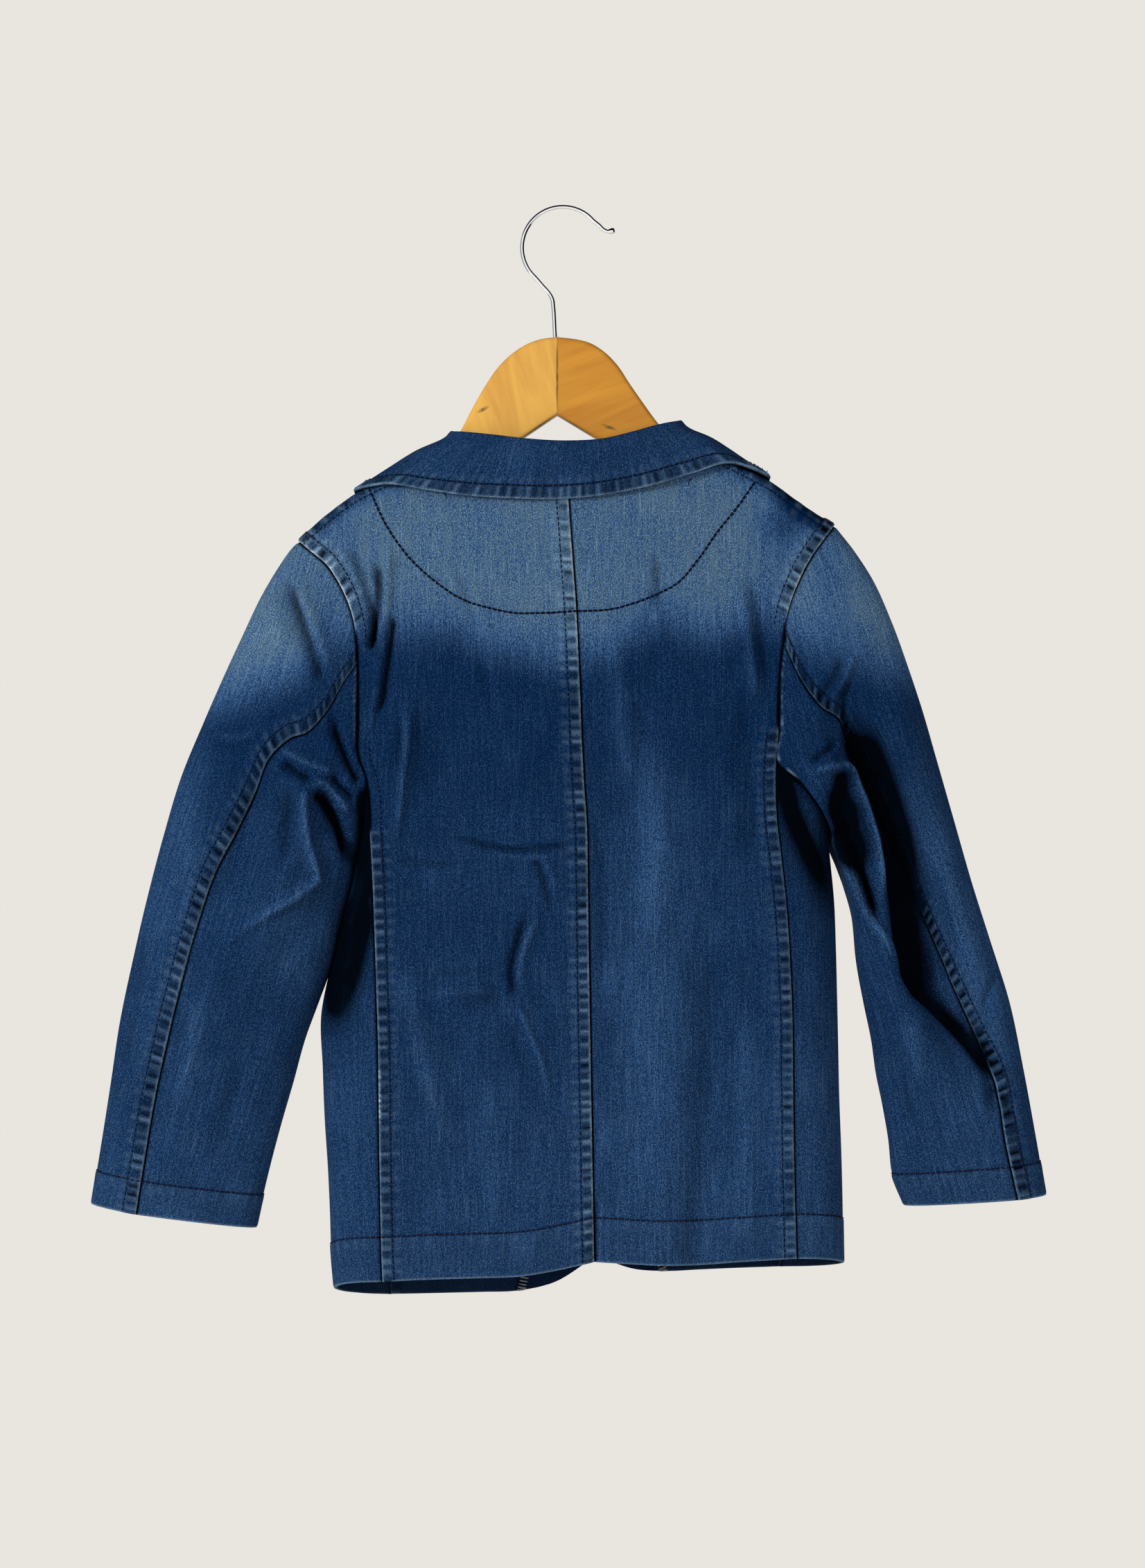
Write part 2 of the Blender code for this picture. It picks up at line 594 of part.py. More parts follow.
def cloth_piece(name, grid, normals, wall, finish, collection):
    """Closed wall: the grid is its outside, the inside lies one wall thickness behind."""
    mesh = bmesh.new()
    outside, inside = [], []
    for row, line in enumerate(grid):
        points = [drawn_in(grid, row, column, SEAM_GAP / 2) for column in range(len(line))]
        backs = [point - normal_at(normals, place) * wall for point, place in zip(points, line)]
        outside.append([mesh.verts.new(point * MM) for point in points])
        inside.append([mesh.verts.new(point * MM) for point in backs])
    for layer in (outside, inside):
        for upper, lower in zip(layer, layer[1:]):
            for corners in zip(upper, lower, lower[1:], upper[1:]):
                mesh.faces.new(corners if layer is outside else reversed(corners))
    outer_rim, inner_rim = rim_of(outside), rim_of(inside)
    for step in range(len(outer_rim)):
        mesh.faces.new((outer_rim[step - 1], outer_rim[step], inner_rim[step],
                        inner_rim[step - 1]))
    bmesh.ops.remove_doubles(mesh, verts=mesh.verts, dist=0.00005)
    bmesh.ops.triangulate(mesh, faces=mesh.faces)
    bmesh.ops.recalc_face_normals(mesh, faces=mesh.faces)
    data = bpy.data.meshes.new(name)
    mesh.to_mesh(data)
    mesh.free()
    return add_object(name, data, finish, collection)


def flipped(grid):
    return [list(reversed(line)) for line in grid]


def wood_outline(half):
    arm = tuple((x, at(RIDGE, x) - WOOD_DROP) for x in half["arm_x"])
    return half["dome"] + arm + half["below"]


def plate(name, outline, thick, rounding, seam_x, finish, collection):
    """Flat board cut to an outline of (x, z), its edges rounded except at the joint."""
    mesh = bmesh.new()
    near = [mesh.verts.new(Vector((x, -thick / 2, z)) * MM) for x, z in outline]
    face = mesh.faces.new(near)
    made = bmesh.ops.extrude_face_region(mesh, geom=[face])
    far = [item for item in made["geom"] if isinstance(item, bmesh.types.BMVert)]
    bmesh.ops.translate(mesh, verts=far, vec=(0, thick * MM, 0))
    bmesh.ops.recalc_face_normals(mesh, faces=mesh.faces)
    rounded = []
    for edge in mesh.edges:
        flat = abs(edge.verts[0].co.y - edge.verts[1].co.y) < MM
        at_joint = all(abs(vert.co.x - seam_x * MM) < 0.5 * MM for vert in edge.verts)
        if flat and not at_joint:
            rounded.append(edge)
    bmesh.ops.bevel(mesh, geom=rounded, offset=rounding * MM, segments=3, profile=0.5,
                    affect="EDGES", clamp_overlap=True)
    bmesh.ops.triangulate(mesh, faces=mesh.faces)
    data = bpy.data.meshes.new(name)
    mesh.to_mesh(data)
    mesh.free()
    return add_object(name, data, finish, collection)


def bore(target, collection):
    """Hole for the hook's stem, down through the joint of the two halves."""
    bottom_z = HOOK_STEM_END_Z - BORE_BELOW_STEM
    middle_z = (BORE_TOP_Z + bottom_z) / 2
    bpy.ops.mesh.primitive_cylinder_add(vertices=16, radius=(HOOK_WIRE / 2 + BORE_CLEARANCE) * MM,
                                        depth=(BORE_TOP_Z - bottom_z) * MM,
                                        location=(HOOK_STEM_X * MM, 0, middle_z * MM))
    cutter = bpy.context.object
    cutter.name = "bore_" + target.name
    cutter.hide_render = True
    cutter.display_type = "WIRE"
    for holder in list(cutter.users_collection):
        holder.objects.unlink(cutter)
    collection.objects.link(cutter)
    cut = target.modifiers.new("bore", "BOOLEAN")
    cut.operation = "DIFFERENCE"
    cut.solver = "EXACT"
    cut.object = cutter


def hook(finish, collection):
    """Wire bent to a crown, down to a straight stem, with a small ball at its free end."""
    centre_x, centre_z = HOOK_CENTRE
    points = list(HOOK_TIP)
    for step in range(HOOK_CROWN_STEPS + 1):
        turn = math.radians(mix(*HOOK_CROWN, step / HOOK_CROWN_STEPS))
        points.append((centre_x + HOOK_RADIUS * math.cos(turn),
                       centre_z + HOOK_RADIUS * math.sin(turn), 1.0))
    points += HOOK_BEND
    data = bpy.data.curves.new("hook", "CURVE")
    data.dimensions = "3D"
    data.bevel_depth = HOOK_WIRE / 2 * MM
    data.bevel_resolution = 2
    data.use_fill_caps = True
    spline = data.splines.new("POLY")
    spline.points.add(len(points) - 1)
    for point, (x, z, size) in zip(spline.points, points):
        point.co = (x * MM, 0, z * MM, 1)
        point.radius = size
    return add_object("hook", data, finish, collection)


def button(name, z, front_face_y, finish, collection):
    """Button's disc with its raised rim, turned from a profile."""
    radius = BUTTON_DIAMETER / 2
    foot_in, foot_height = BUTTON_FOOT
    slope_in, rim_in = BUTTON_RIM
    well = BUTTON_THICK - BUTTON_WELL
    profile = ((0, 0), (radius - foot_in, 0), (radius, foot_height),
               (radius, BUTTON_THICK - BUTTON_EDGE), (radius - rim_in, BUTTON_THICK),
               (radius - slope_in, well), (0, well))
    data = bpy.data.meshes.new(name)
    vertices = [(r * MM, 0, h * MM) for r, h in profile]
    data.from_pydata(vertices, [(i, i + 1) for i in range(len(profile) - 1)], [])
    made = add_object(name, data, finish, collection)
    made.location = (FRONT_MIDDLE_X * MM, (front_face_y + SEAM_GAP) * MM, z * MM)
    made.rotation_euler = (-math.pi / 2, 0, 0)
    turn = made.modifiers.new("turn", "SCREW")
    turn.axis = "Z"
    turn.steps = BUTTON_TURNS
    turn.render_steps = BUTTON_TURNS
    turn.use_merge_vertices = True
    turn.merge_threshold = 0.00001
    turn.use_normal_calculate = True


def clear_scene():
    for item in list(bpy.data.objects):
        bpy.data.objects.remove(item, do_unlink=True)


def build():
    clear_scene()
    blazer = bpy.data.collections.new("blazer")
    cutters = bpy.data.collections.new("cutters")
    bpy.context.scene.collection.children.link(blazer)
    bpy.context.scene.collection.children.link(cutters)
    denim = material("washed_indigo_denim", (0.015, 0.045, 0.12), 0.9)
    denim_light = material("shoulder_faded_denim", (0.06, 0.13, 0.22), 0.9)
    wood = material("varnished_beech", (0.68, 0.38, 0.12), 0.35)
    chrome = material("bright_chromed_wire", (0.8, 0.8, 0.82), 0.12, 1.0)
    horn = material("dark_polished_button", (0.02, 0.025, 0.04), 0.3)

    pieces = {}
    neck = {}
    body = []
    for side, sections, folds in ((LEFT, LEFT_SLEEVE, LEFT_SLEEVE_FOLDS),
                                  (RIGHT, RIGHT_SLEEVE, RIGHT_SLEEVE_FOLDS)):
        name = side["name"]
        back, front = back_panel(side), front_panel(side)
        side_cloth = side_panel(side, back, front)
        rings = sleeve_rings(armhole_loop(back, side_cloth, front), sections, folds)
        over, under = split_sleeve(rings)
        neck[name] = neck_line(back, front)
        if name == "left":
            back, side_cloth = flipped(back), flipped(side_cloth)
        else:
            front, over, under = flipped(front), flipped(over), flipped(under)
        pieces[name] = {"back": back, "front": front, "side": side_cloth,
                        "top_sleeve": over, "under_sleeve": under}
        body += pieces[name].values()
    normals = grid_normals(body)

    for name, cloth in pieces.items():
        for kind, grid in cloth.items():
            finish = denim_light if kind == "back" else denim
            cloth_piece(kind + "_" + name, grid, normals, CLOTH_WALL, finish, blazer)
        front = cloth["front"][UNDERARM_STEP:]
        columns = slice(0, FACING_COLUMNS) if name == "left" else slice(-FACING_COLUMNS, None)
        facing = offset_grid([line[columns] for line in front], normals,
                             -CLOTH_WALL - SEAM_GAP)
        cloth_piece("facing_" + name, facing, grid_normals([facing]), FACING_WALL, denim, blazer)

    collar = list(reversed(collar_grid(neck)))
    cloth_piece("collar", collar, grid_normals([collar]), COLLAR_WALL, denim, blazer)
    left_lapel = lapel_grid(LEFT, LEFT_LAPEL)
    right_lapel = flipped(lapel_grid(RIGHT, RIGHT_LAPEL))
    cloth_piece("lapel_left", left_lapel, grid_normals([left_lapel]), CLOTH_WALL, denim, blazer)
    cloth_piece("lapel_right", right_lapel, grid_normals([right_lapel]), CLOTH_WALL, denim,
                blazer)

    for name, half in (("hanger_left", WOOD_LEFT), ("hanger_right", WOOD_RIGHT)):
        half = plate(name, wood_outline(half), WOOD_THICK, WOOD_ROUND, WOOD_SEAM_X, wood, blazer)
        bore(half, cutters)
    hook(chrome, blazer)
    for name, z in BUTTON_Z.items():
        button(name, z, front_y(FRONT_MIDDLE_X, z, LEFT), horn, blazer)


build()
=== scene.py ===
"""A child's stretch-denim blazer on a wooden hanger: its cloth, sewing, hanger and light.

Sizes are in millimetres until a mesh is made. The blazer's back faces -Y and +Z is up.
"""
import math

import bmesh
import bpy
import numpy as np
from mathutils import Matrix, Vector, bvhtree


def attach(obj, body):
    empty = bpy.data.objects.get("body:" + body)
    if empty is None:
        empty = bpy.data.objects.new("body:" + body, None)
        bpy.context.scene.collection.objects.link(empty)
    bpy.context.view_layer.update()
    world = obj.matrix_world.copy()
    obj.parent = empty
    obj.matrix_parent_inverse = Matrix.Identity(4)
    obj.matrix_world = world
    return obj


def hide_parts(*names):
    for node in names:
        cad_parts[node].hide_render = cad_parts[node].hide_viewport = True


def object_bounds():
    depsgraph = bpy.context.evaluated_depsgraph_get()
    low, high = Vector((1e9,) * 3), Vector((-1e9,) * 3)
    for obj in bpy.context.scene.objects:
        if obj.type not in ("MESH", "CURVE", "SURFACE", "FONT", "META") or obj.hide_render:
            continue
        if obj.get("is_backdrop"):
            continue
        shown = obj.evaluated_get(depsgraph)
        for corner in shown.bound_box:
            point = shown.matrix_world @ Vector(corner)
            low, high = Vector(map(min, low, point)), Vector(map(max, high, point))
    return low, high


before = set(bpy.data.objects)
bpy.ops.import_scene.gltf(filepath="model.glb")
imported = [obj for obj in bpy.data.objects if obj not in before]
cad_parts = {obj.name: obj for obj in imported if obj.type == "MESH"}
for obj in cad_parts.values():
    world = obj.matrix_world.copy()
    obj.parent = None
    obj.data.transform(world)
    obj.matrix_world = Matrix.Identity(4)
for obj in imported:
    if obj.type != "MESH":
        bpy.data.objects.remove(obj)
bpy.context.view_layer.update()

# --- backs ---
# Two back panels of stretch denim, cut to a curved centre seam and sewn together there. The
# blazer hangs from its shoulders, so the cloth lies over a ridge along the shoulder seams and
# swells out below it, with folds where it is slack.

MM = 0.001
NECK_Z = -150.0             # back neck seam on the centre line
BACK_HEM_X = 20.5           # centre back seam at the hem
BACK_BREAK_Z = -320.0       # centre back point level with the underarms

# Steps down the armhole from the shoulder point, as shares of its depth. The shoulder's
# slope is felt in full down to SHOULDER_STEP.
ARMHOLE_STEPS = (0.0, 0.008, 0.037, 0.095, 0.16, 0.24, 0.335, 0.42, 0.5, 0.615, 0.745, 0.875, 1.0)
SHOULDER_STEP = 3
UNDERARM_STEP = len(ARMHOLE_STEPS) - 1
# Steps from the underarm to the hem
BODY_STEPS = (0.1, 0.2, 0.31, 0.42, 0.53, 0.64, 0.75, 0.85, 0.93, 1.0)
# Columns along a shoulder seam, from the neck to the shoulder point
SHOULDER_COLUMNS = (0.0, 0.2, 0.39, 0.55, 0.7, 0.85, 1.0)
# Back neck curve: share of the way from the centre to the neck point, share of the rise.
# The last step, up over the hanger's arm to the neck point itself, is NECK_STEP high.
NECK_CURVE = ((0.0, 0.0), (0.35, 0.1), (0.7, 0.45), (0.99, 1.0), (1.0, 1.0))
NECK_STEP = 5.6
HEM_CURVE_POWER = 3         # the hem's curve fades out fast above it

# Swell of the body behind and before the shoulder ridge: (drop below ridge, swell)
BODY_SWELL = ((0, 0), (1, 4.8), (5, 8.2), (13, 9.6), (25, 11), (45, 13.2), (80, 16.5),
              (140, 20), (300, 23), (480, 22))
# Height of the shoulder ridge: (x, z); between the neck points it is only a guide
RIDGE = ((-146, -187), (-137, -178), (-125, -168.3), (-114, -160.5), (-90, -148.5),
         (-68, -139), (-40, -124), (3, -104), (45, -118), (74, -132), (95, -141),
         (119, -153), (127, -158.6), (140, -168.4), (156, -178))
# Centre back seam: (z, x)
CENTRE_BACK = ((-592, BACK_HEM_X), (-474, 18.4), (-411, 17.4), (-349, 16.6), (-311, 14),
               (-267, 12.4), (-226, 10.5), (-192, 8), (-150, 5))

# One entry a side. armhole and side_seam are (z, x) from the bottom up, and hem_back is (x, z).
LEFT = {
    "name": "left",
    "neck_point": (-74, -141.53),
    "shoulder_point": (-146, -187),
    "underarm_z": -324,
    "armhole": ((-324, -107), (-308, -112), (-275, -112), (-247, -112.6), (-232, -114.5),
                (-217, -119.5), (-202, -128), (-187, -146)),
    "side_seam": ((-611, -97.7), (-577, -99), (-518, -100), (-474, -100.4), (-421, -102),
                  (-368, -104), (-324, -107)),
    "side_hem_back": -603.0,
    "hem_back": ((-98, -603), (-79, -602), (-46, -601), (-21, -600), (-2, -597), (10, -594),
                 (BACK_HEM_X, -592)),
}
RIGHT = {
    "name": "right",
    "neck_point": (80, -134.57),
    "shoulder_point": (156, -178),
    "underarm_z": -311,
    "armhole": ((-311, 122.5), (-293, 124), (-265, 124.5), (-247, 127), (-242, 127),
                (-227, 129), (-211, 135), (-196, 142.5), (-178, 156)),
    "side_seam": ((-597, 134), (-549, 132.8), (-506, 132), (-461, 131.7), (-424, 130.4),
                  (-386, 128), (-343, 122.6), (-311, 122.5)),
    "side_hem_back": -590.0,
    "hem_back": ((BACK_HEM_X, -592), (38, -593), (58, -594), (79, -594), (102, -592), (134, -590)),
}

# Largest folds: path of (x, z), reach to each side, lift off the form (minus is a hollow)
BACK_FOLDS = (
    (((-60, -240), (-50, -300), (-38, -400)), 22, -1.5),
    (((-40, -430), (-32, -520), (-20, -600)), 20, 2.0),
    (((36, -350), (44, -470), (40, -560)), 20, -2.0),
    (((78, -380), (84, -480), (82, -595)), 20, -2.5),
    (((60, -420), (62, -595)), 18, 1.5),
)
# Main creases: path of (x, z), lift, reach to the left and right of the path, fade in, fade out
BACK_CREASES = (
    (((-118, -189), (-111, -202), (-107, -214), (-104, -225), (-103, -238), (-104.5, -250)),
     -3.4, 2.4, 2.6, 0.15, 0.15),
    (((-101, -196), (-99.8, -206), (-99.4, -215), (-100.5, -226), (-102, -236), (-104.3, -250)),
     -5.2, 1.4, 3.4, 0.2, 0.08),
    (((-94.6, -186), (-96, -206), (-96.6, -224), (-99.5, -236), (-102.4, -246)), 3.2, 3.6, 1.6, 0.25),
    (((-92.6, -228), (-94, -244), (-96, -258), (-99, -276), (-103.6, -289)), -5.2, 3.4, 1.6, 0.1, 0.2),
    (((-87, -284), (-88, -300), (-90, -322)), -2.2, 1.5, 2.4),
    (((-99, -262), (-102, -280), (-107, -300)), 1.8, 1.6, 3.2),
    (((-82.6, -278), (-84, -292), (-84.6, -305), (-86.5, -318), (-88.3, -340), (-91, -364)),
     2.6, 1.8, 3.4, 0.2),
    (((-76, -272), (-77, -296), (-79, -320), (-82, -345)), -1.6, 4.5, 2.2),
    (((-70, -262), (-71, -300), (-73, -345)), -1.8, 8, 7),
    (((-60, -192), (-52, -211), (-47, -234), (-44.5, -252), (-38, -275), (-34.5, -287), (-31, -301)),
     -1.4, 1.4, 2.6, 0.2),
    (((-54, -194), (-46, -214), (-41, -238), (-38, -256), (-31, -280)), 0.9, 4, 2.4, 0.2),
    (((-58, -228), (-54, -245), (-52, -262)), -1.3, 6, 7, 0.3, 0.4),
    (((-66, -351), (-52, -355), (-41, -358), (-29, -360.2), (-17.5, -361), (-2, -359), (9, -357.5)),
     -3.6, 1.5, 1.9, 0.3, 0.1),
    (((-44, -361), (-29, -364), (-14, -365), (2, -363)), 1.2, 1.6, 3, 0.3, 0.2),
    (((-92, -366), (-74, -368.3), (-60, -370), (-50, -369)), -2.2, 1.4, 2, 0.2, 0.4),
    (((-12.6, -363), (-7.7, -376), (-3.8, -390), (-0.8, -402)), -3.2, 1.4, 2.4, 0.15, 0.4),
    (((-9, -362), (-4, -376), (0, -391)), 1.2, 3, 1.4, 0.2, 0.4),
    (((-13.5, -391), (-20.4, -407.5), (-24.3, -421), (-25.7, -429), (-24.3, -439), (-23, -448)),
     -4.2, 1.5, 3, 0.3, 0.2),
    (((-56, -448), (-30, -441)), -2.4, 10, 10, 0.3, 0.2),
    (((-9, -392), (-16, -407), (-20.5, -421), (-21.5, -431), (-20, -446)), 2.8, 3.4, 1.6),
    (((-74, -437), (-62.6, -430), (-49, -429), (-29, -429)), -1.6, 2.2, 3.4, 0.3, 0.2),
    (((-78, -446), (-62, -441), (-45, -440), (-30, -441)), 1, 3, 3),
    (((-23.4, -446), (-17.5, -460), (-9.6, -478), (-5.7, -494), (-2.8, -508)), 2.2, 2.6, 1.8, 0.15, 0.4),
    (((-29, -448), (-24, -464), (-16, -484), (-11, -505)), -1.3, 2.6, 4, 0.3, 0.4),
    (((-92, -400), (-84, -440), (-72, -490), (-60, -540)), 1.6, 7, 7),
    (((-66, -450), (-58, -500), (-52, -560)), -1.3, 8, 8),
    (((-40, -470), (-38, -520), (-36, -580)), 1.2, 7, 7),
    (((22, -330), (26, -380), (24, -456)), -1.8, 5, 7),
    (((52, -282), (52, -310), (55, -360), (50, -430)), 1.9, 10, 10, 0.35),
    (((101, -258), (107, -320), (110, -390)), -2.4, 7, 9),
    (((56, -192), (57.5, -208), (56, -230)), -2.8, 2.8, 3.4),
    (((44, -268), (47, -292), (44, -318)), -1.6, 4.5, 4),
    (((78, -380), (84, -440), (80, -520), (74, -600)), -2.6, 7, 10, 0.3, 0.05),
    (((102, -420), (106, -500), (104, -590)), 1, 7, 7, 0.3, 0.1),
    (((108, -200), (112, -222), (116, -249), (120, -280)), -3, 2.2, 3.4),
    (((102, -205), (106, -230), (110, -262), (112, -290)), 1.8, 2.4, 4.5),
    (((22.6, -548), (21.8, -594)), -2, 2, 2.6, 0.5, 0.01),
    (((30, -230), (36, -290), (40, -340)), 1.2, 7, 7),
)


def at(table, key):
    """Straight-line value of a two-column table, held flat past its ends."""
    if key <= table[0][0]:
        return table[0][1]
    for (k0, v0), (k1, v1) in zip(table, table[1:]):
        if key <= k1:
            return v0 + (v1 - v0) * (key - k0) / (k1 - k0)
    return table[-1][1]


def mix(a, b, share):
    return a + (b - a) * share


def path_distance(x, z, path):
    """Distance in the plan of the garment from a point to a path of (x, z)."""
    nearest = 1e9
    for (x0, z0), (x1, z1) in zip(path, path[1:]):
        run_x, run_z = x1 - x0, z1 - z0
        along = ((x - x0) * run_x + (z - z0) * run_z) / (run_x ** 2 + run_z ** 2)
        along = min(1.0, max(0.0, along))
        nearest = min(nearest, math.hypot(x - x0 - along * run_x, z - z0 - along * run_z))
    return nearest


def fold_lift(x, z, folds):
    return sum(lift * math.exp(-(path_distance(x, z, path) / reach) ** 2)
               for path, reach, lift in folds)


def swell(x, z):
    return at(BODY_SWELL, at(RIDGE, x) - z)


def back_y(x, z):
    return -swell(x, z) - fold_lift(x, z, BACK_FOLDS)


def row_places(side):
    """Outer edge of back and front, row by row: (x, z) down the armhole and the side seam."""
    top = side["shoulder_point"][1]
    depth = side["underarm_z"] - top
    places = [(at(side["armhole"], top + depth * step), top + depth * step)
              for step in ARMHOLE_STEPS]
    for step in BODY_STEPS:
        z = mix(side["underarm_z"], side["side_hem_back"], step)
        places.append((at(side["side_seam"], z), z))
    return places


def inner_rows(top_z, break_z, end_z):
    """Heights along the centre edge that pair with row_places."""
    upper = [mix(top_z, break_z, step) for step in ARMHOLE_STEPS]
    return upper + [mix(break_z, end_z, step) for step in BODY_STEPS]


def edge_bend(top_bend, hem_bend, row, rows):
    """Pull a straight row towards the top edge near row 0 and the hem near the last row."""
    if row <= UNDERARM_STEP:
        start = ARMHOLE_STEPS[SHOULDER_STEP]
        return top_bend * (1 - max(0.0, (ARMHOLE_STEPS[row] - start) / (1 - start)))
    return hem_bend * ((row - UNDERARM_STEP) / (rows - 1 - UNDERARM_STEP)) ** HEM_CURVE_POWER


def back_panel(side):
    outer = row_places(side)
    inner_z = inner_rows(NECK_Z, BACK_BREAK_Z, at(side["hem_back"], BACK_HEM_X))
    neck_x, neck_z = side["neck_point"]
    first_x = at(CENTRE_BACK, NECK_Z)
    last_x = side["shoulder_point"][0]
    neck_share = (neck_x - first_x) / (last_x - first_x)
    shares = [neck_share * c for c, rise in NECK_CURVE[:-1]]
    shares += [mix(neck_share, 1.0, c) for c in SHOULDER_COLUMNS]
    rows = len(outer)
    grid = []
    for row, ((edge_x, edge_z), centre_z) in enumerate(zip(outer, inner_z)):
        centre_x = at(CENTRE_BACK, centre_z)
        line = []
        for share in shares:
            x = mix(centre_x, edge_x, share)
            top_x = mix(first_x, last_x, share)
            if share < neck_share - 1e-6:
                top_z = mix(NECK_Z, neck_z - NECK_STEP, at(NECK_CURVE, share / neck_share))
            else:
                top_z = at(RIDGE, top_x)
            top_bend = top_z - mix(NECK_Z, side["shoulder_point"][1], share)
            hem_x = mix(at(CENTRE_BACK, inner_z[-1]), outer[-1][0], share)
            hem_bend = at(side["hem_back"], hem_x) - mix(inner_z[-1], outer[-1][1], share)
            z = mix(centre_z, edge_z, share) + edge_bend(top_bend, hem_bend, row, rows)
            line.append(Vector((x, back_y(x, z), z)))
        grid.append(line)
    return grid


# --- fronts ---
# Two fronts of the same denim, sewn to the backs along the shoulders. They cross on the button
# line, left over right, and their lower corners are rounded off into the hem.

BREAK_Z = -335.0            # where the lapels start to turn back
FRONT_MIDDLE_X = 22.0       # line of the buttons
FRONT_LAP = 16.0            # each front passes the button line by this
LAP_RAMP = 35.0             # the lap's step in depth fades out over this
HEM_RISE_Z = -592.0         # the rounded corners start here

# lap is how far a front stands off the form; front_edge is (z, x) and hem_front is (x, z)
LEFT.update({
    "lap": 2.0,
    "front_seam_shift": 3.0,
    "front_edge": ((-592, 22), (-578, 30), (-560, 35), (-520, 38), (-350, 38), (-335, 34),
                   (-141.53, -74)),
    "side_hem_front": -614.0,
    "hem_front": ((-98, -614), (-46, -612.8), (-22, -612), (-8, -609), (4, -605.3), (12, -602),
                  (16, -599.5), (22, -592)),
})
RIGHT.update({
    "lap": -1.0,
    "front_seam_shift": -7.0,
    "front_edge": ((-592, 22), (-578, 14), (-560, 9), (-520, 6), (-350, 6), (-335, 10),
                   (-134.57, 80)),
    "side_hem_front": -598.0,
    "hem_front": ((22, -592), (33, -597), (44, -599.6), (58, -601), (102, -599), (134, -598)),
})
FRONT_CREASES = (
    (((-92, -220), (-96, -270), (-100, -310)), 3.4, 4, 7),
    (((-60, -380), (-40, -400), (10, -404)), -2, 4, 5, 0.3, 0.2),
    (((-80, -420), (-70, -500), (-74, -590)), 2.8, 10, 10, 0.3, 0.1),
    (((104, -215), (112, -270), (118, -300)), 3, 6, 4),
    (((44, -380), (70, -372), (110, -366)), -2, 5, 4, 0.2),
    (((90, -400), (84, -500), (88, -580)), 2.8, 10, 10, 0.3, 0.1),
)


def front_y(x, z, side):
    """Front of the body; near the button line one front is lifted over the other."""
    toward_edge = FRONT_LAP + LAP_RAMP - abs(x - FRONT_MIDDLE_X)
    return swell(x, z) + side["lap"] * min(1.0, max(0.0, toward_edge / LAP_RAMP))


def front_panel(side):
    outer = row_places(side)
    neck_x, neck_z = side["neck_point"]
    inner_z = inner_rows(neck_z, BREAK_Z, HEM_RISE_Z)
    rows = len(outer)
    hem_edge_x = outer[-1][0] + side["front_seam_shift"]
    grid = []
    for row, ((edge_x, edge_z), centre_z) in enumerate(zip(outer, inner_z)):
        down = max(0.0, (row - UNDERARM_STEP) / (rows - 1 - UNDERARM_STEP))
        edge_x += side["front_seam_shift"] * down
        edge_z += (side["side_hem_front"] - side["side_hem_back"]) * down
        centre_x = at(side["front_edge"], centre_z)
        line = []
        for share in SHOULDER_COLUMNS:
            x = mix(centre_x, edge_x, share)
            top_x = mix(neck_x, side["shoulder_point"][0], share)
            top_bend = at(RIDGE, top_x) - mix(neck_z, side["shoulder_point"][1], share)
            hem_x = mix(at(side["front_edge"], HEM_RISE_Z), hem_edge_x, share)
            hem_line = mix(HEM_RISE_Z, side["side_hem_front"], share)
            hem_bend = at(side["hem_front"], hem_x) - hem_line
            z = mix(centre_z, edge_z, share) + edge_bend(top_bend, hem_bend, row, rows)
            line.append(Vector((x, front_y(x, z, side), z)))
        grid.append(line)
    return grid


# --- side bodies ---
# A narrow panel on each side, set in with plain seams and wrapping from the back round to the
# front. Its top is the bottom of the armhole, and the resting sleeve presses it in there.

SIDE_COLUMNS = 6
DROP_FADE_POWER = 1.5       # the armpit's drop fades out down the side panel
DROP_ROUND_POWER = 1.2
UNDERARM_HOLLOW = 0.4       # how far the side panel is pressed flat under the sleeve

# underarm_drop is the armpit's drop below the side seam's top; outline is (z, x)
LEFT.update({
    "underarm_drop": 26,
    "outline": ((-609, -126), (-590, -127.7), (-551, -129), (-511, -131.6), (-472, -133),
                (-453, -133.3), (-440, -131), (-425, -126.6), (-398, -120.2), (-374, -114.4),
                (-350, -109.2)),
})
RIGHT.update({
    "underarm_drop": 31,
    "outline": ((-594, 161.4), (-541, 160.5), (-502, 159), (-453, 158), (-413, 157),
                (-377, 155.5), (-370, 154), (-353, 153), (-342, 151.5)),
})
# Where the left side and its sleeve rest together: lift, height and reach
UNDERARM_CLOSING = (1.7, -398.0, 42.0)
# Painted shade on the cloth under the arm, in the hollow by the sleeve: path, share, reach left and right,
# fade in and out
LEFT_UNDERARM_SHADE = (
    (((-109, -322), (-107.7, -338), (-107.7, -354), (-107.7, -373), (-109, -392)), 2.2, 4, 4.4, 0.2, 0.2),
    (((-108, -374), (-113, -404), (-117, -422), (-124, -448), (-131, -474)), 2.2, 8.5, 9, 0.3, 0.45),
)
UNDERARM_SHADE = {
    "side_left": LEFT_UNDERARM_SHADE,
    "under_sleeve_left": LEFT_UNDERARM_SHADE,
    "side_right": (
        (((125, -300), (128, -322), (132.5, -340), (138, -353), (146, -370), (152, -389), (156, -414)),
         1.3, 5.5, 9, 0.15, 0.45),),
    "under_sleeve_right": (
        (((158, -315), (160.5, -324), (161, -334)), 1.6, 3.8, 4.5),
        (((161, -327), (160.5, -339), (162, -350), (165.5, -362), (170, -376)), 1.9, 9, 8.5, 0.25)),
}


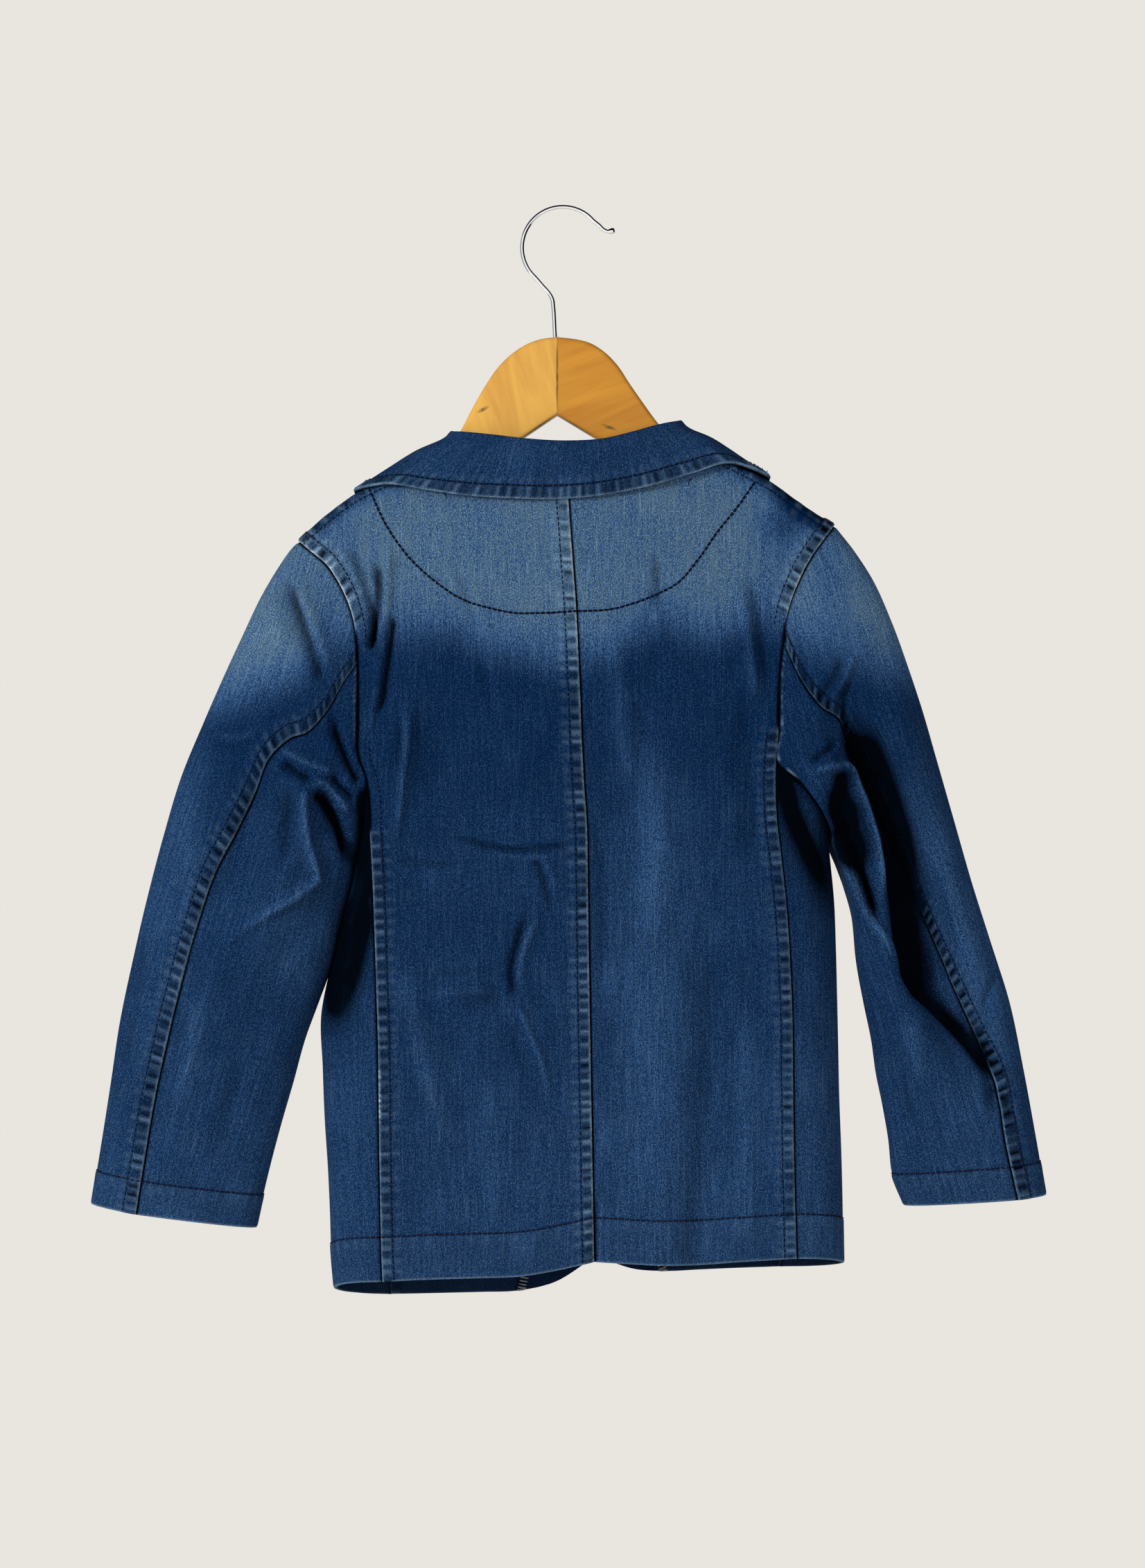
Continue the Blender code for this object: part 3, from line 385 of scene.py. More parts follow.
def side_panel(side, back, front):
    """Wraps round the body's side from the back panel's edge to the front panel's edge."""
    grid = []
    rows = len(back) - 1 - UNDERARM_STEP
    for row in range(UNDERARM_STEP, len(back)):
        start, end = back[row][-1], front[row][-1]
        down = (row - UNDERARM_STEP) / rows
        line = []
        for column in range(SIDE_COLUMNS + 1):
            turn = math.pi * column / SIDE_COLUMNS
            across = (1 - math.cos(turn)) / 2
            bulge = max(0.0, math.sin(turn))
            drop = side["underarm_drop"] * (1 - down) ** DROP_FADE_POWER
            drop *= bulge ** DROP_ROUND_POWER
            z = mix(start.z, end.z, across) - drop
            seam_x = mix(start.x, end.x, across)
            x = mix(seam_x, at(side["outline"], z), bulge)
            hollow = UNDERARM_HOLLOW * bulge * (1 - down) ** 2 if down > 0 else 0
            line.append(Vector((x, mix(start.y, end.y, across) * (1 - hollow), z)))
        grid.append(line)
    return grid


# --- sleeves ---
# Two-piece sleeves: an upper and an under piece, joined by two long seams and set into the
# armhole with a little fullness at the head. They hang slightly forward, and the slack cloth
# under the arm breaks into deep folds.

SLEEVE_SEAM_STEP = 8        # the sleeve's seams meet the armhole here
UNDERARM_MIDDLE = UNDERARM_STEP + SIDE_COLUMNS // 2
SLEEVE_HEAD_FULLNESS = 0.25
UNDERARM_CROWDING = 0.5     # sleeve columns gather towards the armpit by this
SLEEVE_ROUNDNESS = 2.3      # 2 is an ellipse, more is flatter and squarer
FRONT_SEAM_SHARE = 0.62     # place of the hidden sleeve seam across the far face

# Sleeve sections below the armhole. Columns: outer x, z; inner x, z; back seam x, z;
# half depth; how much of the armhole's own curve is still felt there.
LEFT_SLEEVE = (
    (-150, -191, -110, -353, -119.5, -266, 13, 0.86),
    (-157, -201, -111.5, -358, -128, -281, 15, 0.7),
    (-167, -218, -113.5, -364, -139, -294, 17, 0.55),
    (-178, -241, -116, -373, -150, -298.5, 18, 0.4),
    (-189.5, -266, -118, -384, -162, -310.3, 20, 0.27),
    (-200, -290, -120.5, -393, -169.5, -328.4, 21, 0.16),
    (-212, -319, -124, -405, -179.7, -349.6, 22, 0.08),
    (-222, -352, -128, -425, -192.5, -374.5, 22, 0.03),
    (-231.5, -388, -135.5, -448, -203, -405.4, 21, 0),
    (-239, -420, -142.5, -468, -210.7, -434, 20, 0),
    (-247, -458, -149, -492, -219, -467.8, 19, 0),
    (-252.5, -495, -156.5, -518, -226.3, -501.3, 18, 0),
    (-258, -530, -164, -547, -232, -534.7, 17, 0),
    (-263, -560.5, -170, -574, -237, -566, 16, 0),
)
RIGHT_SLEEVE = (
    (160, -183, 154.5, -346, 135.5, -263, 13, 0.86),
    (167, -192, 156.5, -353, 146.5, -279, 15, 0.7),
    (177, -207.5, 158, -362, 158, -287, 17, 0.55),
    (188.5, -233, 160, -376, 168.5, -308, 18, 0.4),
    (197.5, -258, 163.5, -388, 178, -334, 20, 0.27),
    (205.5, -282, 166.8, -402, 184.5, -352, 21, 0.16),
    (214, -311, 168.5, -424, 191, -368.5, 22, 0.08),
    (223.5, -344, 172.5, -447, 200.5, -390.5, 22, 0.03),
    (234, -380.5, 177, -469, 212, -415, 21, 0),
    (244, -412, 179.5, -487, 222.3, -437.4, 20, 0),
    (255, -447, 183, -504, 234, -463.6, 19, 0),
    (262.5, -483, 186.5, -524, 246, -492, 18, 0),
    (269.5, -521, 189, -545, 252, -526, 17, 0),
    (275.5, -555.5, 195.5, -561.5, 259, -558, 16, 0),
)
LEFT_SLEEVE_FOLDS = (
    (((-167, -323), (-188, -365), (-206, -412)), 12, -3.0),
    (((-140, -325), (-142, -350), (-150, -378)), 11, 5.0),
    (((-150, -378), (-176, -405), (-200, -450)), 14, 2.0),
)
RIGHT_SLEEVE_FOLDS = (
    (((166, -292), (180, -345), (196, -398), (216, -440), (236, -478)), 13, -13.0),
    (((158, -318), (174, -338), (180, -375), (186, -410), (194, -450)), 9, 4.0),
)

LEFT_ARM_CREASES = (
    (((-153, -204), (-149.5, -212), (-146, -223), (-138.3, -243), (-130, -268)), -4.6, 1.5, 5, 0.25, 0.1),
    (((-148, -205), (-142, -222), (-134, -242), (-127, -262)), 2, 4, 2, 0.25, 0.2),
    (((-163, -214), (-158, -232), (-152, -250)), 1.8, 5, 5, 0.25),
    (((-172, -262), (-164, -270), (-158, -282)), -1, 3, 3),
    (((-196, -300), (-180, -303), (-166, -299)), -1.4, 1.6, 2.4, 0.3, 0.2),
    (((-196, -296), (-180, -298.5), (-166, -295)), 1.2, 3, 2.4, 0.3, 0.2),
    (((-127.3, -279), (-123.3, -295.7), (-117, -309.9), (-109, -325)), -6, 2.2, 3.2, 0.35, 0.1),
    (((-157, -305), (-150, -308), (-141, -312.5), (-131, -316.5), (-123, -320)), 2.6, 3.6, 1.3, 0.15, 0.2),
    (((-155, -311), (-145, -317), (-135, -322)), -5.2, 1.4, 4, 0.2, 0.25),
    (((-128.5, -318), (-120.2, -326.3), (-112.5, -333)), -5, 1.3, 1.6, 0.25, 0.2),
    (((-137, -321.5), (-129.5, -324.5), (-121.5, -334), (-115, -341.5)), 3.6, 2.2, 2.2, 0.2, 0.2),
    (((-137, -327.5), (-130, -332.5), (-125, -341.2), (-120.4, -350.6), (-116.6, -360), (-112.8, -371)),
     -8.5, 2.4, 4.4, 0.12, 0.15),
    (((-140.5, -325), (-141, -339), (-139.8, -354), (-136, -368), (-134, -378), (-146, -388), (-168, -401),
      (-196, -422)), 3.6, 1.8, 4, 0.05, 0.45),
    (((-150, -322), (-152, -340), (-153, -362), (-160, -380)), -3.6, 4.5, 6, 0.2, 0.4),
    (((-160, -318), (-176, -350), (-190, -382), (-208, -418)), -2, 4.5, 5, 0.2, 0.4),
    (((-124, -378), (-140, -402), (-158, -426), (-178, -475)), -0.9, 6, 7, 0.2, 0.4),
    (((-195, -430), (-205, -470), (-215, -520)), 1.9, 6, 6),
    (((-232, -400), (-240, -450), (-246, -500)), -1.6, 6, 6),
    (((-176, -470), (-186, -510), (-190, -545)), -1.6, 6, 6),
)
RIGHT_ARM_CREASES = (
    (((161, -250), (157, -262), (150, -273), (142, -281)), -3, 1.4, 2.6, 0.2),
    (((166, -250), (162, -264), (156, -275)), 2.2, 2.6, 2.2, 0.2),
    (((163.5, -262), (160, -276), (161, -288), (165, -300)), -3.6, 3, 1.8, 0.2, 0.2),
    (((158, -298), (151, -306), (141, -312.5)), -3.8, 2, 2.2, 0.25),
    (((165, -313), (152, -314.5), (139, -318)), 2.8, 2.6, 2.2, 0.2),
    (((159.5, -318), (161.5, -330), (160.5, -343), (163, -356)), -8.5, 7.5, 10, 0.35, 0.25),
    (((161, -342), (165, -358), (170, -371), (175.6, -387.6), (182, -408)), -8.5, 4.6, 5.6, 0.15),
    (((158, -310), (168, -317), (174.5, -335), (179.5, -355), (182.5, -380), (184, -398)),
     5.2, 2.2, 3.2, 0.1),
    (((160, -286), (167, -304), (178, -330), (185.5, -352), (189, -370), (192, -390), (194, -410),
      (198, -430), (205, -443), (212, -451)), -9.5, 16, 4.4, 0.13, 0.14),
    (((197, -426), (204, -440), (213, -450.5), (223, -461), (231.5, -471), (239, -482), (245, -492)),
     -8, 8, 3, 0.2, 0.2),
    (((239, -474), (243, -489), (245.5, -503), (248, -517)), -3.6, 1.5, 4.5, 0.25, 0.4),
    (((250, -425), (244, -437), (240.5, -449), (238, -460)), -1.8, 2, 2.6, 0.2, 0.4),
    (((154, -348), (163, -370), (174.5, -396), (188.5, -417), (202, -437)), 3.4, 2, 4, 0.1, 0.4),
    (((208, -330), (218, -370), (230, -410), (242, -450)), 2, 7, 6, 0.3, 0.4),
    (((192, -486), (196, -502), (200, -520)), -2.5, 3.6, 4.2, 0.4),
    (((196, -440), (200, -470), (208, -500)), 2, 6, 6, 0.4),
    (((240, -492), (250, -500), (258, -512)), -1.8, 2.4, 3),
)
LEFT.update(sleeve=LEFT_SLEEVE, sleeve_folds=LEFT_SLEEVE_FOLDS, sleeve_creases=LEFT_ARM_CREASES)
RIGHT.update(sleeve=RIGHT_SLEEVE, sleeve_folds=RIGHT_SLEEVE_FOLDS,
             sleeve_creases=RIGHT_ARM_CREASES)


def armhole_loop(back, side_cloth, front):
    """The seam that the sleeve joins, from the shoulder point round by the back."""
    loop = [back[row][-1] for row in range(UNDERARM_STEP + 1)]
    loop += side_cloth[0][1:-1]
    loop += [front[row][-1] for row in range(UNDERARM_STEP, 0, -1)]
    return loop


def sleeve_ring(arcs, section, folds):
    """One plain section of the sleeve, through its outline points and its back seam."""
    outer = Vector((section[0], 0, section[1]))
    inner = Vector((section[2], 0, section[3]))
    seam = Vector((section[4], 0, section[5]))
    half_depth, felt = section[6:8]
    across = inner - outer
    seam_share = (seam - outer).dot(across) / across.length_squared
    lean = seam - (outer + across * seam_share)
    count = len(arcs) - 1
    gather = 1 / (1 + UNDERARM_CROWDING * felt)
    ring = []
    for index in range(count):
        near = index <= UNDERARM_MIDDLE
        reached = [arcs[index], arcs[SLEEVE_SEAM_STEP], arcs[UNDERARM_MIDDLE]]
        if not near:
            reached = [arcs[-1] - arcs[i]
                       for i in (index, count - SLEEVE_SEAM_STEP, UNDERARM_MIDDLE)]
        arc, arc_at_seam, arc_at_pit = reached
        turn_at_seam = math.acos(1 - 2 * (seam_share if near else FRONT_SEAM_SHARE))
        if arc <= arc_at_seam:
            part = arc / arc_at_seam
            turn = turn_at_seam * part
        else:
            part = ((arc_at_pit - arc) / (arc_at_pit - arc_at_seam)) ** gather
            turn = math.pi - (math.pi - turn_at_seam) * part
        point = outer + across * ((1 - math.cos(turn)) / 2)
        rounding = max(0.0, math.sin(turn)) ** (2 / SLEEVE_ROUNDNESS)
        if near:
            point += lean * part
            depth = half_depth + fold_lift(point.x, point.z, folds)
            point.y = -depth * rounding
        else:
            point.y = half_depth * rounding
        ring.append(point)
    return ring


def sleeve_rings(loop, sections, folds):
    """Rings from the armhole to the cuff; the armhole's own curve fades out down the sleeve."""
    arcs = [0.0]
    for here, there in zip(loop, loop[1:] + loop[:1]):
        arcs.append(arcs[-1] + (there - here).length)
    pit, seam = loop[UNDERARM_MIDDLE], loop[SLEEVE_SEAM_STEP]
    first = (loop[0].x, loop[0].z, pit.x, pit.z, seam.x, seam.z, sections[0][6], 0)
    plain = sleeve_ring(arcs, first, ())
    own_curve = [point - base for point, base in zip(loop, plain)]
    rings = [list(loop)]
    for section in sections:
        felt = section[7]
        ring = [point + curve * felt
                for point, curve in zip(sleeve_ring(arcs, section, folds), own_curve)]
        for point in ring:
            point.y *= 1 + SLEEVE_HEAD_FULLNESS * 4 * felt * (1 - felt)
        rings.append(ring)
    return rings


def split_sleeve(rings):
    """Upper and under sleeve, cut along the two lengthwise seams."""
    count = len(rings[0])
    back_seam, front_seam = SLEEVE_SEAM_STEP, count - SLEEVE_SEAM_STEP
    over = [index % count for index in range(front_seam, count + back_seam + 1)]
    under = list(range(back_seam, front_seam + 1))
    return ([[ring[i] for i in over] for ring in rings],
            [[ring[i] for i in under] for ring in rings])


# --- denim ---
# Stretch twill woven from an indigo-dyed warp over a white weft. The sewn blazer is sprayed with
# bleach over the shoulders and then washed soft. To the eye it is matt, with a cloudy pale yoke
# that fades into deep blue and seams rubbed pale. Its deep folds, seam grooves and the cloth under
# the arms are darkened towards near black by painted shade.

# Grain: mm across and along the warp, and the detail of its noise. A real warp yarn is about
# 0.35 mm wide; the yarns and the twill are drawn about twice as coarse, so that they show.
YARNS, SLUBS, FLECKS = (0.7, 2.6, 2), (0.7, 1.0, 1), (0.6, 0.8, 0)
STREAKS, LONG_SLUBS, CLOUDS = (1.8, 30, 2), (0.9, 22, 1), (34, 52, 4)
TWILL_PITCH = 0.9
YARN_RELIEF = 0.22          # height of the yarns, which the light rakes
# Settings of nodes that do sums. SCALED is the first input times the second, plus the third, and
# CLAMPED is the same kept between 0 and 1.
SCALED = {"operation": "MULTIPLY_ADD"}
CLAMPED = {"operation": "MULTIPLY_ADD", "use_clamp": True}
TIMES = {"operation": "MULTIPLY"}
COLOURS = {"data_type": "RGBA", "out": 2}


def linear(hex_colour):
    """Linear RGBA of an sRGB colour written as six hex digits."""
    parts = [int(hex_colour[i:i + 2], 16) / 255 for i in (0, 2, 4)]
    return tuple(c / 12.92 if c <= 0.04045 else ((c + 0.055) / 1.055) ** 2.4 for c in parts) + (1.0,)


def node(tree, kind, inputs=(), out=0, **settings):
    """Adds a shader node and gives back one output.

    Settings are its properties, and inputs, by name or number, take a value or a link.
    """
    made = tree.nodes.new("ShaderNode" + kind)
    for key, value in settings.items():
        setattr(made, key, value)
    for socket, value in inputs.items() if isinstance(inputs, dict) else enumerate(inputs):
        if isinstance(value, bpy.types.NodeSocket):
            tree.links.new(value, made.inputs[socket])
        else:
            made.inputs[socket].default_value = value
    return made.outputs[out]


def new_material(name, **values):
    """Material with these values on its shader's own sockets."""
    made = bpy.data.materials.new(name)
    made.use_nodes = True
    shader = made.node_tree.nodes["Principled BSDF"]
    for socket, value in values.items():
        shader.inputs[socket.replace("_", " ")].default_value = value
    return made, made.node_tree, shader


def denim(name, deep, middle, pale, worn, weft, shadowed, reverse):
    """Its colour runs from deep through middle to pale as the wash takes the indigo, and to near black
    where shade is painted.
    """
    made, tree, shader = new_material(name, Roughness=0.9, Specular_IOR_Level=0.03)
    uv = node(tree, "UVMap", uv_map="cloth")
    faded, wear, dark, inside = (node(tree, "Attribute", out="Fac", attribute_name=key)
                                 for key in ("wash", "wear", "dark", "inside"))

    def grain(across, along, detail):
        place = node(tree, "Mapping", {"Vector": uv, "Scale": (1 / MM / across, 1 / MM / along, 1)})
        return node(tree, "TexNoise", {"Vector": place, "Scale": 1.0, "Detail": detail,
                                       "Roughness": 0.6}, noise_dimensions="2D")

    def added(wash, noises, steep, slope, least):
        """Noises, each with its strength, times a gain that grows with the fade."""
        gain = node(tree, "Math", (faded, steep, slope), **SCALED)
        gain = node(tree, "Math", (faded, gain, least), **SCALED)
        for noise, strength in noises:
            centred = node(tree, "Math", (noise, strength, -strength / 2), **SCALED)
            wash = node(tree, "Math", (centred, gain, wash), **SCALED)
        return wash

    yarns, slubs, flecks, streaks, long_slubs, clouds = (
        grain(*size) for size in (YARNS, SLUBS, FLECKS, STREAKS, LONG_SLUBS, CLOUDS))
    wash = added(faded, ((yarns, 2.3), (streaks, 1.3), (slubs, 2.2)), 2.2, 0.45, 0.15)
    wash = added(wash, ((clouds, 0.9),), 2.4, 0.2, 0.2)
    least_wash = node(tree, "Math", (faded, 0.42), **TIMES)
    wash = node(tree, "Math", (wash, least_wash), operation="MAXIMUM", use_clamp=True)
    # Single pale yarns and long slubs, most where the dye is gone
    flecks = node(tree, "Math", (flecks, 6.0, -3.6), **CLAMPED)
    long_slubs = node(tree, "Math", (long_slubs, 9.0, -5.8), **CLAMPED)
    light_yarns = node(tree, "Math", (long_slubs, slubs, flecks), **CLAMPED)
    light_share = node(tree, "Math", (faded, 0.9, 0.065), **CLAMPED)
    # Rubbed seams, down to the bare weft where the rubbing was hardest
    rubbed = node(tree, "Math", (wear, node(tree, "Math", (slubs, 1.6, 0.15), **SCALED)), **TIMES)
    rubbed_share = node(tree, "Math", (rubbed, 0.85), **TIMES)
    dark_yarns = node(tree, "Math", (yarns, -5.0, 1.7), **CLAMPED)
    # Painted shade from the dark attribute, a little patchy, taking the colour to near black
    patchy = node(tree, "Math", (clouds, 0.5, 0.8), **SCALED)
    shade_share = node(tree, "Math", (dark, patchy), operation="MULTIPLY", use_clamp=True)
    colour = linear(deep)
    for share, toward in (
            (node(tree, "Math", (wash, 2.6), operation="MULTIPLY", use_clamp=True), middle),
            (node(tree, "Math", (wash, 1.7, -0.5), **CLAMPED), pale),
            (node(tree, "Math", (light_yarns, light_share), **TIMES), worn),
            (node(tree, "Math", (dark_yarns, 0.12), **TIMES), shadowed),
            (node(tree, "Math", (rubbed_share, 0.8), operation="MINIMUM"), worn),
            (node(tree, "Math", (rubbed, 1.0, -0.75), **CLAMPED), weft),
            (node(tree, "Math", (shade_share, 0.985), **TIMES), shadowed),
            (node(tree, "Math", (inside, 0.75), **TIMES), reverse)):
        colour = node(tree, "Mix", {0: share, 6: colour, 7: linear(toward)}, **COLOURS)
    tree.links.new(colour, shader.inputs["Base Color"])
    # The twill's diagonal ribs and the yarns' own relief
    place = node(tree, "SeparateXYZ", (uv,)).node.outputs
    diagonal = node(tree, "Math", (place[0], place[1]), operation="ADD")
    ribs = node(tree, "Math", (diagonal, 2 * math.pi / MM / TWILL_PITCH), **TIMES)
    ribs = node(tree, "Math", (ribs,), operation="SINE")
    height = node(tree, "Math", (ribs, 0.12, yarns), **SCALED)
    height = node(tree, "Math", (height, slubs), operation="ADD")
    bump = node(tree, "Bump", {"Height": height, "Distance": YARN_RELIEF * MM, "Strength": 0.8})
    tree.links.new(bump, shader.inputs["Normal"])
    return made


# shadowed is the near black of the painted shade in troughs, seam grooves and under the arms; a little of
# it also darkens single yarns
DENIM = denim("ombre_washed_stretch_denim", deep="011a3a", middle="2c4d78", pale="42596a",
              worn="7896b0", weft="b3bcbc", shadowed="000308", reverse="0b1930")

# Lower edge of the spray, where half the fade is left: (x, z)
FADE_LINE = ((-205, -276), (-170, -266), (-150, -258), (-130, -246), (-112, -231), (-95, -228),
             (-80, -229), (-60, -231), (-40, -238), (-12, -247), (12, -246), (32, -241),
             (46, -231), (60, -224), (73, -230), (88, -234), (98, -230), (108, -222),
             (122, -228), (140, -238), (165, -246), (190, -254), (206, -260))
FADE_REACH = 52.0
FULL_FADE = 0.565
SHOULDER_SEAM_FADE = -0.4   # the doubled cloth by the shoulder seam took less of the spray
SHOULDER_BAND, BAND_EDGE = 17.0, 15.0   # depth of that cloth, and of its soft edge
# Patches that the spray missed or reached twice: x, z, reach across, reach up and down, share
SPRAY_PATCHES = (
    (128, -178, 20, 18, -0.46), (119, -208, 12, 20, -0.16), (152, -208, 11, 28, -0.26),
    (164, -236, 12, 16, -0.2), (182, -228, 16, 24, 0.26), (-118, -185, 14, 16, -0.14),
    (-150, -212, 10, 22, -0.17), (-129.5, -237, 8, 26, -0.26), (-74, -196, 12, 22, 0.06),
    (-58, -206, 7, 26, -0.1), (30, -190, 26, 22, -0.04), (56, -206, 12, 22, -0.06),
    (-30, -200, 16, 22, -0.05), (-168, -236, 14, 20, 0.14),
)
# Patches of the deep part that are lighter, in the same way: the wash's own, and low on the right
# back, on the right side and on the right sleeve also painted light where the light falls more
WASHED_AND_LIT_PATCHES = (
    (54, -450, 30, 120, 0.10), (-211, -345, 17, 55, 0.09), (-228, -430, 24, 60, 0.05),
    (-147, -409, 20, 40, 0.06), (210, -335, 16, 50, 0.07), (238, -425, 20, 75, 0.10),
    (150, -510, 18, 95, 0.06),
)
# Gradual lightening towards the hem: height where it starts, reach, share
LOW_WASH = ((-285, 90, 0.035), (-420, 140, 0.055))


def soft_step(value):
    value = np.clip(value, 0, 1)
    return value * value * (3 - 2 * value)


def bell(away, reach):
    return np.exp(-(away / reach) ** 2)


def wash_at(x, z, top_z):
    """How far the spray and the wash have taken the indigo, with some painted light on the right; top_z is
    the shoulder seam.
    """
    line = np.interp(x, *zip(*FADE_LINE))
    fade = soft_step((z - line) / FADE_REACH + 0.5)
    by_seam = soft_step((z - top_z + SHOULDER_BAND) / BAND_EDGE)
    low = sum(share * soft_step((start - z) / reach) for start, reach, share in LOW_WASH)
    uneven, washed_and_lit = (sum(share * bell(x - at_x, wide) * bell(z - at_z, high)
                          for at_x, at_z, wide, high, share in patches)
                      for patches in (SPRAY_PATCHES, WASHED_AND_LIT_PATCHES))
    return fade * (FULL_FADE + SHOULDER_SEAM_FADE * by_seam + uneven) + (1 - fade) * washed_and_lit + low


# --- seams and hems ---
# One side of a seam is turned under, lies raised and is topstitched, so the cloth puckers and is
# rubbed pale there; the other side runs in under it. A hem is turned up and stitched once. Cloth
# keeps these marks, and its creases, as relief and as rubbing down to the weft, and their grooves
# and troughs are given painted shade.

CLOTH_WALL = 1.2            # denim with its turned allowances
# Heights in a seam: its turned allowances, the groove under the stitches, and the puckers
# between seam and stitches and just past them. Then the same in a hem, and its rolled rim.
SEAM_RAISED, SEAM_GROOVE, SEAM_PUCKER, PUCKER_BEYOND = 0.75, 0.4, 0.36, 0.2
HEM_RAISED, HEM_GROOVE, HEM_PUCKER, HEM_ROLL = 0.5, 0.45, 0.12, 0.35
# Rubbing, as shares: on the puckers, past the stitches and on the folded edge
WORN_PUCKER, WORN_BEYOND, WORN_EDGE = 0.95, 0.45, 1.7
RIDGE_FADE = 0.045          # share of the fade that each mm of ridge has lost to rubbing
TROUGH_SHADE = 0.065        # painted shade that a 1 mm trough gets, as a share
DEEPEST = 9.5               # a hollow stops short of the cloth on the other side
MOST_WEAR = 4


def eased(knots, values, wanted):
    """Smooth curve through values at the knots, read off at the wanted places."""
    knots, values, wanted = (np.asarray(item, float) for item in (knots, values, wanted))
    step = np.diff(knots)
    widen = (slice(None),) + (None,) * (values.ndim - 1)
    slope = np.diff(values, axis=0) / step[widen]
    tangent = np.empty_like(values)
    before = (step[1:] / (step[:-1] + step[1:]))[widen]
    tangent[1:-1] = slope[:-1] * before + slope[1:] * (1 - before)
    tangent[0], tangent[-1] = slope[0], slope[-1]
    span = np.clip(np.searchsorted(knots, wanted, side="right") - 1, 0, len(step) - 1)
    t = ((wanted - knots[span]) / step[span])[widen]
    run = step[span][widen]
    return (values[span] * (2 * t ** 3 - 3 * t ** 2 + 1) + values[span + 1] * (3 * t ** 2 - 2 * t ** 3)
            + tangent[span] * run * (t ** 3 - 2 * t ** 2 + t) + tangent[span + 1] * run * (t ** 3 - t ** 2))


def normal_at(normals, point):
    return normals[tuple(round(v, 2) for v in point)]


def measured(points, axis):
    """Distance run along the cloth from its first row or column."""
    gaps = np.linalg.norm(np.diff(points, axis=axis), axis=2)
    pad = [(0, 0), (0, 0)]
    pad[axis] = (1, 0)
    return np.cumsum(np.pad(gaps, pad), axis=axis)


def run_along(line):
    """Distance run at each point of a line."""
    return np.concatenate(([0], np.cumsum(np.linalg.norm(np.diff(line, axis=0), axis=1))))


def crease(x, z, path, left, right, start=0.3, end=0.3):
    """Share from 0 to 1 of a soft ridge or trough along a path of (x, z).

    left and right are its reach on each side of the path; start and end are the shares of
    its length over which it fades in and out.
    """
    reached = run_along(path)
    nearest, side, share = np.full(x.shape, 1e9), np.zeros(x.shape), np.zeros(x.shape)
    for (x0, z0), (x1, z1), before, after in zip(path, path[1:], reached, reached[1:]):
        run_x, run_z, run = x1 - x0, z1 - z0, after - before
        t = np.clip(((x - x0) * run_x + (z - z0) * run_z) / run ** 2, 0, 1)
        away = np.hypot(x - x0 - t * run_x, z - z0 - t * run_z)
        closer = away < nearest
        nearest = np.where(closer, away, nearest)
        side = np.where(closer, run_x * (z - z0) - run_z * (x - x0), side)
        share = np.where(closer, (before + t * run) / reached[-1], share)
    fade = soft_step(share / start) * soft_step((1 - share) / end)
    return bell(nearest, np.where(side > 0, left, right)) * fade


def puckers(distance, pitch, seed):
    """Heights from 0 to 1 along a seam, one soft bump for each pucker."""
    draw = np.random.default_rng(seed)
    heights, place = np.zeros(distance.shape), pitch * draw.uniform(0.2, 1.0)
    while place < distance.max():
        width = pitch * draw.uniform(0.15, 0.22)
        heights += draw.uniform(0.35, 1.0) * bell(distance - place, width)
        place += pitch * draw.uniform(0.72, 1.3)
    return heights


def stretch(along, low, high, ease=6):
    """1 on one stretch of a seam, eased out to 0 at its ends."""
    return soft_step((along - low) / ease) * soft_step((high - along) / ease)


def thin_mesh(name, points, faces):
    """Smooth mesh from points in mm."""
    data = bpy.data.meshes.new(name)
    data.from_pydata((points * MM).tolist(), [], faces)
    data.polygons.foreach_set("use_smooth", np.ones(len(faces), bool))
    return data


def add_piece(name, data, finish, node_name=None):
    """Puts a finished mesh in the scene, on the one body, in place of its plain solid."""
    data.materials.append(finish)
    piece = bpy.data.objects.new(name, data)
    bpy.context.scene.collection.objects.link(piece)
    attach(piece, "root")
    if node_name:
        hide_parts(node_name)
    return piece


